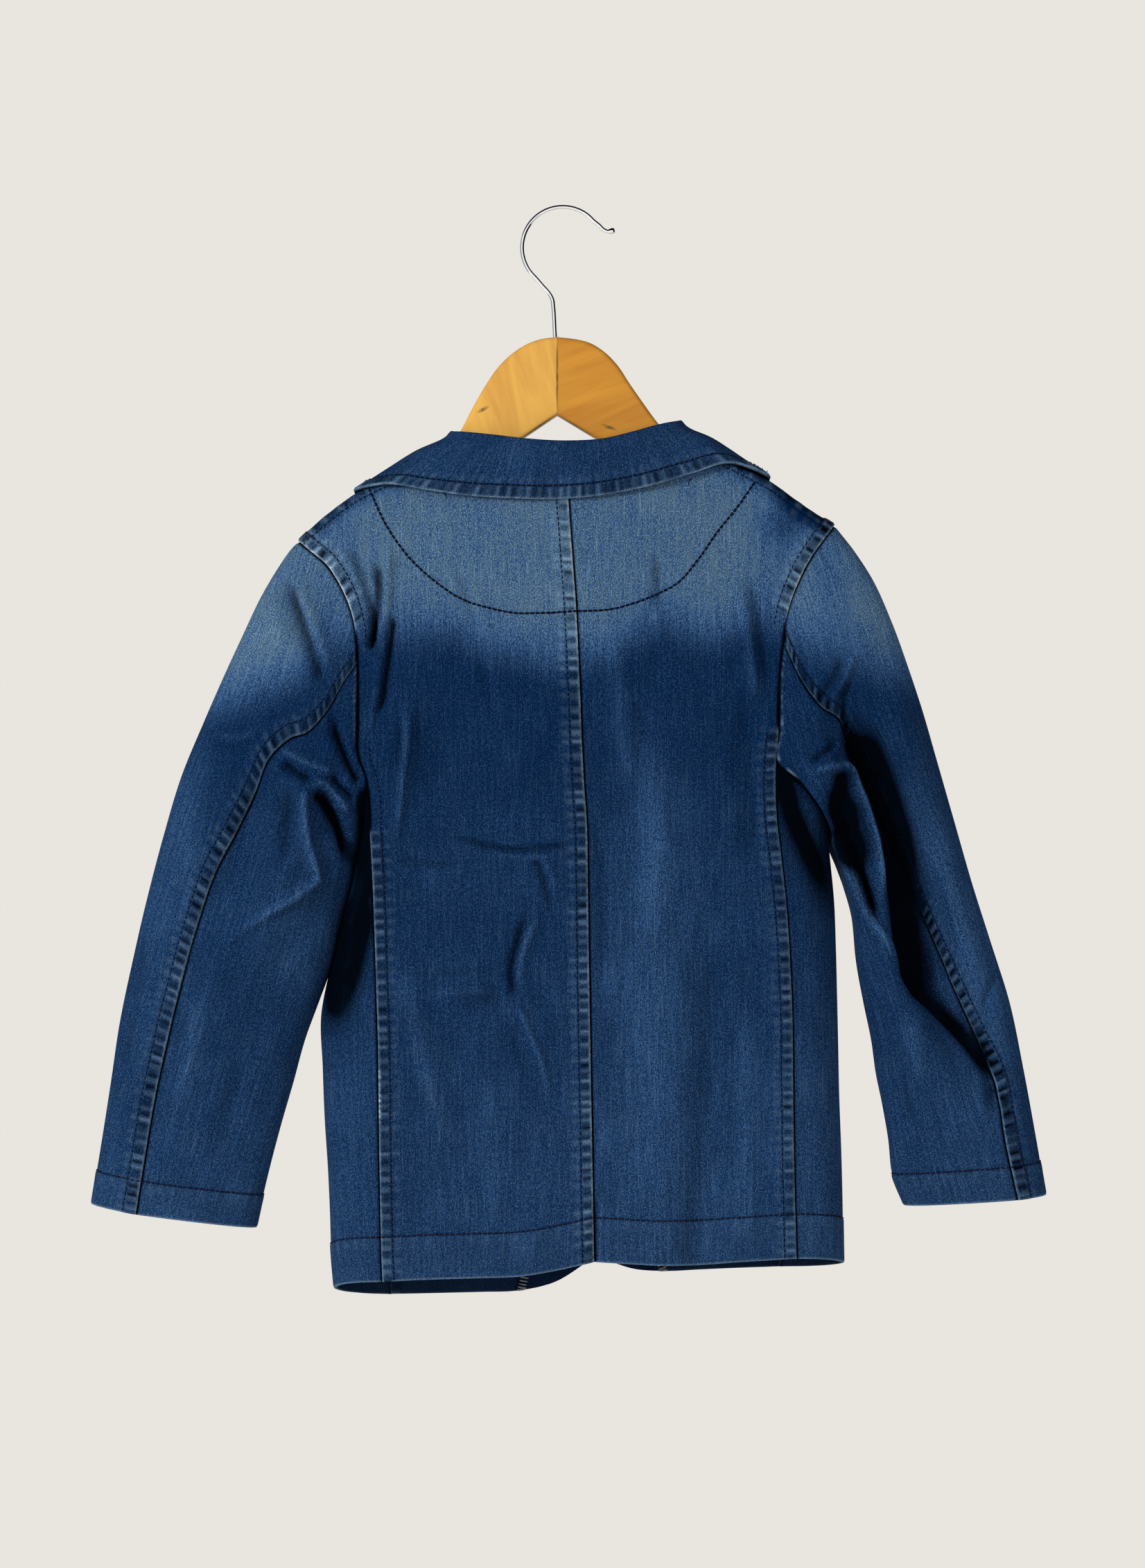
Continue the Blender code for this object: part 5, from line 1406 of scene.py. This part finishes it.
lapels = []
for side in (LEFT, RIGHT):
    name, lapel = side["name"], LAPELS[side["name"]]
    grid = lapel_grid(side, lapel)
    if side is RIGHT:
        grid = [line[::-1] for line in grid]
    cloth = loose_cloth("lapel_" + name, grid, 3.0, 2.0, DOUBLE_THICK)
    outer = "right" if side is LEFT else "left"
    cloth.topstitched(outer, LAPEL_STITCH, 8.0, 301, 0.5)
    cloth.lift += LAPEL_PLY
    cloth.made_up(wash_at(cloth.x, cloth.z, -100.0), "denim_indigo")
    cloth.cut_from(*lapel["cut"], "front_" + name + "_cloth", "folded")
    lapels.append((cloth, outer))


# --- collar ---
# A stand and a turned-down fall, cut double in one piece and sewn to the neck seam. It folds
# softly over its stand, and its topstitched outer edge spreads over the shoulders. A few ends of
# thread were left where the edge turns over the right shoulder.

# Collar stations from the left gorge round the neck to the right gorge.
# Columns: distance along the neck seam from the centre back; fold x, y, z; outer edge x, y, z
COLLAR_STATIONS = (
    (-131, -46, 20.5, -172.5, -97, 20.5, -189),
    (-114, -50.5, 17, -157, -107, 17.5, -177),
    (-101, -55.5, 12.5, -143, -112.5, 12.5, -166.5),
    (-91, -59.5, 6.5, -130.5, -114.8, 6, -159.5),
    (-84.8, -60.5, -1, -125.6, -114, -2.5, -157.6),
    (-76, -57, -8, -125.4, -97, -14.2, -155.2),
    (-63, -47, -12.4, -126.3, -76, -16.6, -158.4),
    (-45, -34, -14.6, -127.8, -53, -17.8, -161.8),
    (-22, -17, -15.6, -129.8, -26, -18.2, -163.6),
    (0, 4, -15.8, -131, 1, -18.4, -164),
    (21, 25, -15.4, -129.8, 28, -18, -161.4),
    (43, 42, -14.2, -125.8, 54, -17.2, -156),
    (60, 56, -11.6, -121.8, 76, -16, -149.4),
    (73, 66, -7.4, -119.6, 99, -13.6, -143.4),
    (82, 70, -1, -119.4, 119, -2.5, -149.8),
    (88.5, 69, 6.5, -123.5, 120, 6, -151.8),
    (99, 64.5, 12.5, -136, 117.5, 12.5, -159),
    (113, 60, 17, -152, 111.5, 17.5, -171),
    (129, 55, 20.5, -168.5, 101, 20.5, -184),
)
COLLAR_FOLD_HALF = 2.6      # half the thickness of the soft fold
COLLAR_STAND_IN = 0.6       # the stand starts this share of it behind the fold
COLLAR_BOW = 2.0            # how far the fall bows out between fold and edge
COLLAR_FRONT_BOW = 0.6      # where the fall hangs steeply
COLLAR_FALL = ((0.35, 1.0), (0.7, 0.6))     # share of the fall, share of the bow
COLLAR_SEAM_RISE = 1.1
UP = Vector((0, 0, 1))
COLLAR_STITCH = 7.5
COLLAR_WASH = 0.07
COLLAR_CUT = (87, 343, 0.0178)
THREAD_ENDS_AT = (115.5, -149.5)
THREAD_ENDS = ((3.6, 3.0), (5.2, -0.6), (2.2, -4.2), (0.6, 4.6), (-2.6, -3.4))


def along(points, distance):
    """The place a given distance along a run of points."""
    left = distance
    for here, there in zip(points, points[1:]):
        step = (there - here).length
        if left <= step:
            return here.lerp(there, left / step)
        left -= step
    return points[-1].copy()


def collar_grid(neck):
    """Stand, fold and fall, station by station round the neck."""
    grid = []
    for distance, *values in COLLAR_STATIONS:
        line = neck["left"] if distance < 0 else neck["right"]
        fold, edge = Vector(values[:3]), Vector(values[3:])
        seam = along(line, abs(distance))
        seam += (fold - seam).normalized() * COLLAR_SEAM_RISE
        outward = Vector((edge.x - seam.x, edge.y - seam.y, 0)).normalized()
        inner_fold = fold - (outward * COLLAR_STAND_IN + UP) * COLLAR_FOLD_HALF
        outer_fold = fold + (outward - UP) * COLLAR_FOLD_HALF
        fall = edge - outer_fold
        lies_flat = abs(fall.z) < abs(fall.x)
        bow = UP * COLLAR_BOW if lies_flat else outward * COLLAR_FRONT_BOW
        line = [seam, seam.lerp(inner_fold, 0.5), inner_fold, fold, outer_fold]
        line += [outer_fold + fall * share + bow * bowed for share, bowed in COLLAR_FALL]
        grid.append(line + [edge])
    return grid


grid = collar_grid({"left": LEFT["neck"], "right": RIGHT["neck"]})[::-1]
collar = loose_cloth("collar", grid, 1.8, 1.3, DOUBLE_THICK, ((9, 0.7),))
collar.topstitched("right", COLLAR_STITCH, 5.6, 402, 0.6, worn=0.7)
middle = collar.down.shape[1] // 2
collar.grain_u = collar.down[:, middle:middle + 1] + 0 * collar.down
collar.grain_v = collar.across
collar.made_up(COLLAR_WASH, "denim_indigo")
collar.cut_from(*COLLAR_CUT, "back_left_cloth", "folded")
collar_thread = Stitches("collar_topstitching")
collar_thread.sew(*line_at(collar, "right", COLLAR_STITCH), gap=0.3, thick=0.9, rise=0.25)
for cloth, outer in lapels:
    collar_thread.sew(*line_at(cloth, outer, LAPEL_STITCH))
away = np.hypot(*(collar.surface[..., axis] - place for axis, place in zip((0, 2), THREAD_ENDS_AT)))
root = collar.surface[np.unravel_index(away.argmin(), away.shape)] + np.array((0, -0.4, 0))
for x, z in THREAD_ENDS:
    bend, tip = root + np.array((0.55 * x, -0.5, 0.4 * z)), root + np.array((x, -0.2, z))
    collar_thread.sew([root, bend, tip], [(0, -1, 0)] * 3, length=2.3, gap=0.0, thick=0.45, rise=0.0)
collar_thread.make(SEAM_THREAD)


# --- buttons ---
# Two navy buttons turned from corozo nut, polished, and sewn on the front's button line. They
# keep their solid form; the nut shows as a faint swirl under a soft gloss.

NUT_SWIRLS = 260.0          # in a metre: one each 4 mm

finish, tree, shader = new_material("polished_navy_corozo", Roughness=0.28)
swirl = node(tree, "TexNoise", {"Vector": node(tree, "TexCoord", out="Object"),
                                "Scale": NUT_SWIRLS, "Detail": 3.0, "Distortion": 2.0})
tone = node(tree, "Mix", {0: swirl, 6: linear("0c1222"), 7: linear("26304a")}, **COLOURS)
tree.links.new(tone, shader.inputs["Base Color"])
for name in ("button_upper", "button_lower"):
    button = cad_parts[name]
    button.data.materials.clear()
    button.data.materials.append(finish)


# --- wooden hanger ---
# Two halves sawn from light beech boards, rounded along their edges, joined on the centre line
# and clear varnished. The grain of each half runs its own way, so one looks paler, and there are
# a few small dark knots under a soft gloss. A painted shade line runs along each half's underside
# by the notch.

WOOD_THICK = 12.0
WOOD_EDGE = 2.6             # radius of the rounded edges
WOOD_SEAM_X = -0.2
WOOD_SEAM_GAP = 0.02        # each half stops this short of the joint
WOOD_DROP = 2.4             # top of the arms below the cloth's ridge
SHARP_EDGE = math.radians(32)
# Repeats in a metre across, through and along the wood: bands 11 mm wide, pores 1.1 mm wide
GRAIN_BANDS, WOOD_PORES = (90, 60, 12), (900, 600, 40)
# Brown of the knots, the joint's line and the painted shade by the notch
KNOT_JOINT_AND_SHADE_BROWN = "5f4a1e"
# Outline of each half: dome, where the arm meets the ridge, then its tip and underside. Then
# its colours, the grain's angle from the vertical, and its knots, the dark line of the joint and a
# painted shade line along the underside by the notch: x, z, half length, half width and tilt.
WOOD_LEFT = {
    "dome": ((-0.35, -72), (-9, -73), (-18, -76.3), (-26.5, -82), (-34, -89.5), (-40.5, -99),
             (-48, -112), (-54.5, -124.5), (-60.5, -134), (-66, -141), (-72, -144.6)),
    "arm_x": (-79, -90, -114, -125, -130),
    "below": ((-133, -184), (-126, -189), (-110, -183), (-56, -152), (-20.4, -129.8),
              (-0.35, -116.2)),
}
WOOD_RIGHT = {
    "dome": ((-0.05, -72), (9, -73), (17.6, -75), (26, -80), (33.5, -87.5), (40.5, -98),
             (48.5, -109.5), (56, -119.8), (63.5, -128.5), (70, -135), (77.5, -137.8)),
    "arm_x": (85, 95, 119, 127, 133),
    "below": ((137, -174), (131, -180), (115, -175), (60, -147), (20.7, -128.8),
              (-0.05, -116.2)),
}
WOOD_LEFT.update(lean=0.26, pale="cd9c48", streak="a56b27", knots=(
    (-42, -113, 4.4, 1.3, -0.5), (-0.4, -94, 26.0, 0.5, math.pi / 2),
    (-10.5, -122.6, 14.0, 0.9, -0.6)))
WOOD_RIGHT.update(lean=-1.2, pale="bc822a", streak="945818", knots=(
    (29, -123, 5.5, 1.2, 0.35), (0.0, -94, 26.0, 0.5, math.pi / 2),
    (10.5, -122.4, 14.0, 0.9, 0.55)))


def varnished_wood(name, lean, pale, streak, knots):
    made, tree, shader = new_material(name, Roughness=0.42, Coat_Weight=0.12, Coat_Roughness=0.18,
                                      Specular_IOR_Level=0.25)
    place = node(tree, "TexCoord", out="Object")
    turned = node(tree, "Mapping", {"Vector": place, "Rotation": (0, lean, 0)})

    def grain(repeats, detail, **look):
        scaled = node(tree, "Mapping", {"Vector": turned, "Scale": repeats})
        return node(tree, "TexNoise", {"Vector": scaled, "Scale": 1.0, "Detail": detail, **look})

    bands, pores = grain(GRAIN_BANDS, 3.0, Roughness=0.55, Distortion=0.6), grain(WOOD_PORES, 2.0)
    share = node(tree, "Math", (bands, 2.6, -1.0), **CLAMPED)
    broken = node(tree, "Math", (pores, 0.6, 0.45), **SCALED)
    share = node(tree, "Math", (share, broken), operation="MULTIPLY", use_clamp=True)
    colour = node(tree, "Mix", {0: share, 6: linear(pale), 7: linear(streak)}, **COLOURS)
    broken = node(tree, "Math", (pores, 1.2, 0.2), **SCALED)
    # Knots, the joint's dark line, and the painted shade line by the notch
    for x, z, half_long, half_wide, tilt in knots:
        moved = node(tree, "Mapping", {"Vector": place, "Location": (x * MM, 0, z * MM),
                                       "Rotation": (0, tilt, 0),
                                       "Scale": (half_long * MM, 10, half_wide * MM)},
                     vector_type="TEXTURE")
        away = node(tree, "VectorMath", (moved,), out="Value", operation="LENGTH")
        knot = node(tree, "Math", (away, -1.8, 1.8), **CLAMPED)
        knot = node(tree, "Math", (knot, broken), operation="MULTIPLY", use_clamp=True)
        colour = node(tree, "Mix", {0: knot, 6: colour, 7: linear(KNOT_JOINT_AND_SHADE_BROWN)}, **COLOURS)
    tree.links.new(colour, shader.inputs["Base Color"])
    return made


def board(name, outline):
    """Half of the hanger, cut from a board to its outline, its edges rounded over."""
    mesh = bmesh.new()
    near = [mesh.verts.new((x * MM, -WOOD_THICK / 2 * MM, z * MM)) for x, z in outline]
    grown = bmesh.ops.extrude_face_region(mesh, geom=[mesh.faces.new(near)])
    far = [item for item in grown["geom"] if isinstance(item, bmesh.types.BMVert)]
    bmesh.ops.translate(mesh, verts=far, vec=(0, WOOD_THICK * MM, 0))
    bmesh.ops.recalc_face_normals(mesh, faces=mesh.faces)
    rounded = [edge for edge in mesh.edges
               if abs(edge.verts[0].co.y - edge.verts[1].co.y) < MM
               and not all(abs(vert.co.x - WOOD_SEAM_X * MM) < 0.5 * MM for vert in edge.verts)]
    bmesh.ops.bevel(mesh, geom=rounded, offset=WOOD_EDGE * MM, segments=4, profile=0.5,
                    affect="EDGES", clamp_overlap=True)
    for item in mesh.faces:
        item.smooth = True
    for edge in mesh.edges:
        edge.smooth = edge.is_boundary or edge.calc_face_angle(0) < SHARP_EDGE
    data = bpy.data.meshes.new(name)
    mesh.to_mesh(data)
    mesh.free()
    return data


for name, half, way in (("left", WOOD_LEFT, -1), ("right", WOOD_RIGHT, 1)):
    top = [*half["dome"], *((x, at(RIDGE, x) - WOOD_DROP) for x in half["arm_x"])]
    reached = run_along(top)
    outline = [*eased(reached, top, spaced(reached[-1], 3.0)).tolist(), *half["below"]]
    joint = WOOD_SEAM_X + way * WOOD_SEAM_GAP
    outline = [(joint if abs(x - WOOD_SEAM_X) < 0.6 else x, z) for x, z in outline]
    finish = varnished_wood("varnished_beech_" + name, half["lean"], half["pale"], half["streak"],
                            half["knots"])
    add_piece("hanger_" + name + "_board", board("hanger_" + name, outline), finish,
              "hanger_" + name)


# --- hook ---
# Spring steel wire of 2.4 mm, bent over a round former, its free end upset to a small ball and
# its stem screwed into the joint of the hanger. Bright chrome plate: a sharp mirror with only a
# trace of haze, so it shows the pale room and its dark corners.

HOOK_WIRE = 2.4
HOOK_CENTRE = (2.9, -21.2)
HOOK_RADIUS = 23.0
HOOK_CROWN = (40.0, 216.0)  # the round part starts and ends at these angles
HOOK_CROWN_STEPS = 14
HOOK_AROUND = 14            # points round the wire
# Free end with its ball, and the bend into the stem: (x, z, share of the wire's width)
HOOK_TIP = ((32.3, -11.7, 1.1), (31.2, -11.8, 1.5), (29.9, -12.0, 1.35), (28.4, -12.1, 1.0),
            (25.6, -10.9, 1.0), (23.4, -8.7, 1.0))
HOOK_BEND = ((-12.4, -38.4, 1.0), (-8.4, -43.0, 1.0), (-4.9, -47.0, 1.0), (-3.1, -50.2, 1.0),
             (-2.5, -54.5, 1.0), (-1.7, -68.0, 1.0), (-0.9, -84.0, 1.0), (-0.9, -98.0, 1.0))
BALL_LENGTH = 8             # closer steps here, for the ball and the first bend
HAZE_SPOTS = 400.0          # in a metre: one each 2.5 mm

chrome, tree, shader = new_material("bright_chromed_steel_wire", Metallic=1.0)
haze = node(tree, "TexNoise", {"Vector": node(tree, "TexCoord", out="Object"),
                               "Scale": HAZE_SPOTS, "Detail": 2.0})
plate = node(tree, "Mix", {0: haze, 6: linear("e6e8ec"), 7: linear("f6f6f8")}, **COLOURS)
tree.links.new(node(tree, "Math", (haze, 0.04, 0.02), **SCALED), shader.inputs["Roughness"])
tree.links.new(plate, shader.inputs["Base Color"])

wire = list(HOOK_TIP)
for step in range(HOOK_CROWN_STEPS + 1):
    turn = math.radians(mix(*HOOK_CROWN, step / HOOK_CROWN_STEPS))
    wire.append((HOOK_CENTRE[0] + HOOK_RADIUS * math.cos(turn),
                 HOOK_CENTRE[1] + HOOK_RADIUS * math.sin(turn), 1.0))
wire = np.array(wire + list(HOOK_BEND))
reached = run_along(wire[:, :2])
wire = eased(reached, wire, np.concatenate((
    np.linspace(0, BALL_LENGTH, 24), np.arange(BALL_LENGTH + 1, reached[-1], 1.4), [reached[-1]])))
tangent = np.gradient(wire[:, :2], axis=0)
tangent /= np.linalg.norm(tangent, axis=1, keepdims=True)
radius = wire[:, 2:] * HOOK_WIRE / 2
radius[0] *= 0.45           # rounds the ball's end
turns = np.arange(HOOK_AROUND) * 2 * math.pi / HOOK_AROUND
aside = np.cos(turns) * radius
points = np.stack((wire[:, :1] - tangent[:, 1:] * aside, np.sin(turns) * radius,
                   wire[:, 1:2] + tangent[:, :1] * aside), -1)
index = np.arange(len(wire) * HOOK_AROUND).reshape(len(wire), HOOK_AROUND)
beside = np.roll(index, -1, axis=1)
faces = np.stack((index[:-1], beside[:-1], beside[1:], index[1:]), -1).reshape(-1, 4).tolist()
faces += [tuple(index[0][::-1]), tuple(index[-1])]
add_piece("hook_wire", thin_mesh("hook_wire", points.reshape(-1, 3), faces), chrome,
          "hook")


# --- floor, light and camera ---
# A matt floor and a pale room, lit from the upper left by a small soft window, with weak fills
# from the right and from behind. The room's light is even on cloth and wood, and the chrome
# mirrors the unlit corners of the room as dark bands.

FLOOR_Z = -1.25             # in metres, as all places and lights below are
AIM = (0, 0, -0.32)         # middle of the blazer
# Soft lights: place, width, power in watts and colour
LIGHTS = {
    "window_left": ((-2.0, -1.75, 0.3), 0.6, 66.0, (1.0, 0.985, 0.96)),
    "fill_right": ((1.9, -2.0, 0.1), 1.6, 20.0, (0.96, 0.98, 1.0)),
    "fill_behind": ((0.9, 2.6, 0.3), 1.4, 46.0, (1.0, 0.99, 0.97)),
}
CAMERA_LENS = 122.0         # focal length in mm
CAMERA_PLACE = (0.0084, -3.0, -0.324)

bpy.ops.mesh.primitive_plane_add(size=4.0, location=(0, 0.4, FLOOR_Z))
floor = bpy.context.object
floor.name = "studio_floor"
floor_paint, tree, shader = new_material("matt_warm_white_floor", Roughness=0.9)
mottle = node(tree, "TexNoise", {"Vector": node(tree, "TexCoord", out="Object"), "Scale": 3.0})
tone = node(tree, "Mix", {0: mottle, 6: linear("e6e2dc"), 7: linear("eae6e0")}, **COLOURS)
tree.links.new(tone, shader.inputs["Base Color"])
floor.data.materials.append(floor_paint)
floor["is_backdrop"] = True

world = bpy.data.worlds.new("studio")
bpy.context.scene.world = world
world.use_nodes = True
tree = world.node_tree
x, y, z = node(tree, "SeparateXYZ", (node(tree, "TexCoord", out="Generated"),)).node.outputs
toward_front = node(tree, "Math", (y, -0.5, 0.5), **CLAMPED)
leftward = node(tree, "Math", (x, -0.5, 0.5), **CLAMPED)
room = node(tree, "Math", (toward_front, node(tree, "Math", (leftward, 0.35, 0.5), **SCALED)),
            **TIMES)
lit = node(tree, "Mix", {0: room, 6: linear("201f1e"), 7: linear("f4f2ee")}, **COLOURS)
# What a mirror sees: dark to the right and above, and again far to the left and below
right_or_top = node(tree, "Math", (x, z), operation="MAXIMUM")
right_or_top = node(tree, "Math", (right_or_top, 7.0, -2.4), **CLAMPED)
left_or_low = node(tree, "Math", (x, z), operation="MINIMUM")
left_or_low = node(tree, "Math", (left_or_low, -7.0, -4.6), **CLAMPED)
unlit = node(tree, "Math", (left_or_low, 0.7, right_or_top), **CLAMPED)
mirrored = node(tree, "Mix", {0: unlit, 6: linear("ffffff"), 7: linear("0c0b0b")}, **COLOURS)
ray = node(tree, "LightPath").node.outputs
colour = linear("e9e5df")
for share, seen in ((ray["Is Diffuse Ray"], lit), (ray["Is Glossy Ray"], mirrored)):
    colour = node(tree, "Mix", {0: share, 6: colour, 7: seen}, **COLOURS)
tree.links.new(colour, tree.nodes["Background"].inputs["Color"])
tree.nodes["Background"].inputs["Strength"].default_value = 1.0

for name, (place, size, power, tint) in LIGHTS.items():
    light = bpy.data.lights.new(name, "AREA")
    light.shape = "DISK"
    light.size, light.energy, light.color = size, power, tint
    lamp = bpy.data.objects.new(name, light)
    lamp.location = place
    lamp.visible_glossy = False
    lamp.rotation_euler = (Vector(AIM) - Vector(place)).to_track_quat("-Z", "Y").to_euler()
    bpy.context.scene.collection.objects.link(lamp)

camera_data = bpy.data.cameras.new("camera")
camera_data.lens = CAMERA_LENS
camera = bpy.data.objects.new("camera", camera_data)
camera.location = CAMERA_PLACE
camera.rotation_euler = (math.pi / 2, 0, 0)
bpy.context.scene.collection.objects.link(camera)
bpy.context.scene.camera = camera
bpy.context.scene.view_settings.view_transform = "Standard"


low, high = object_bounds()
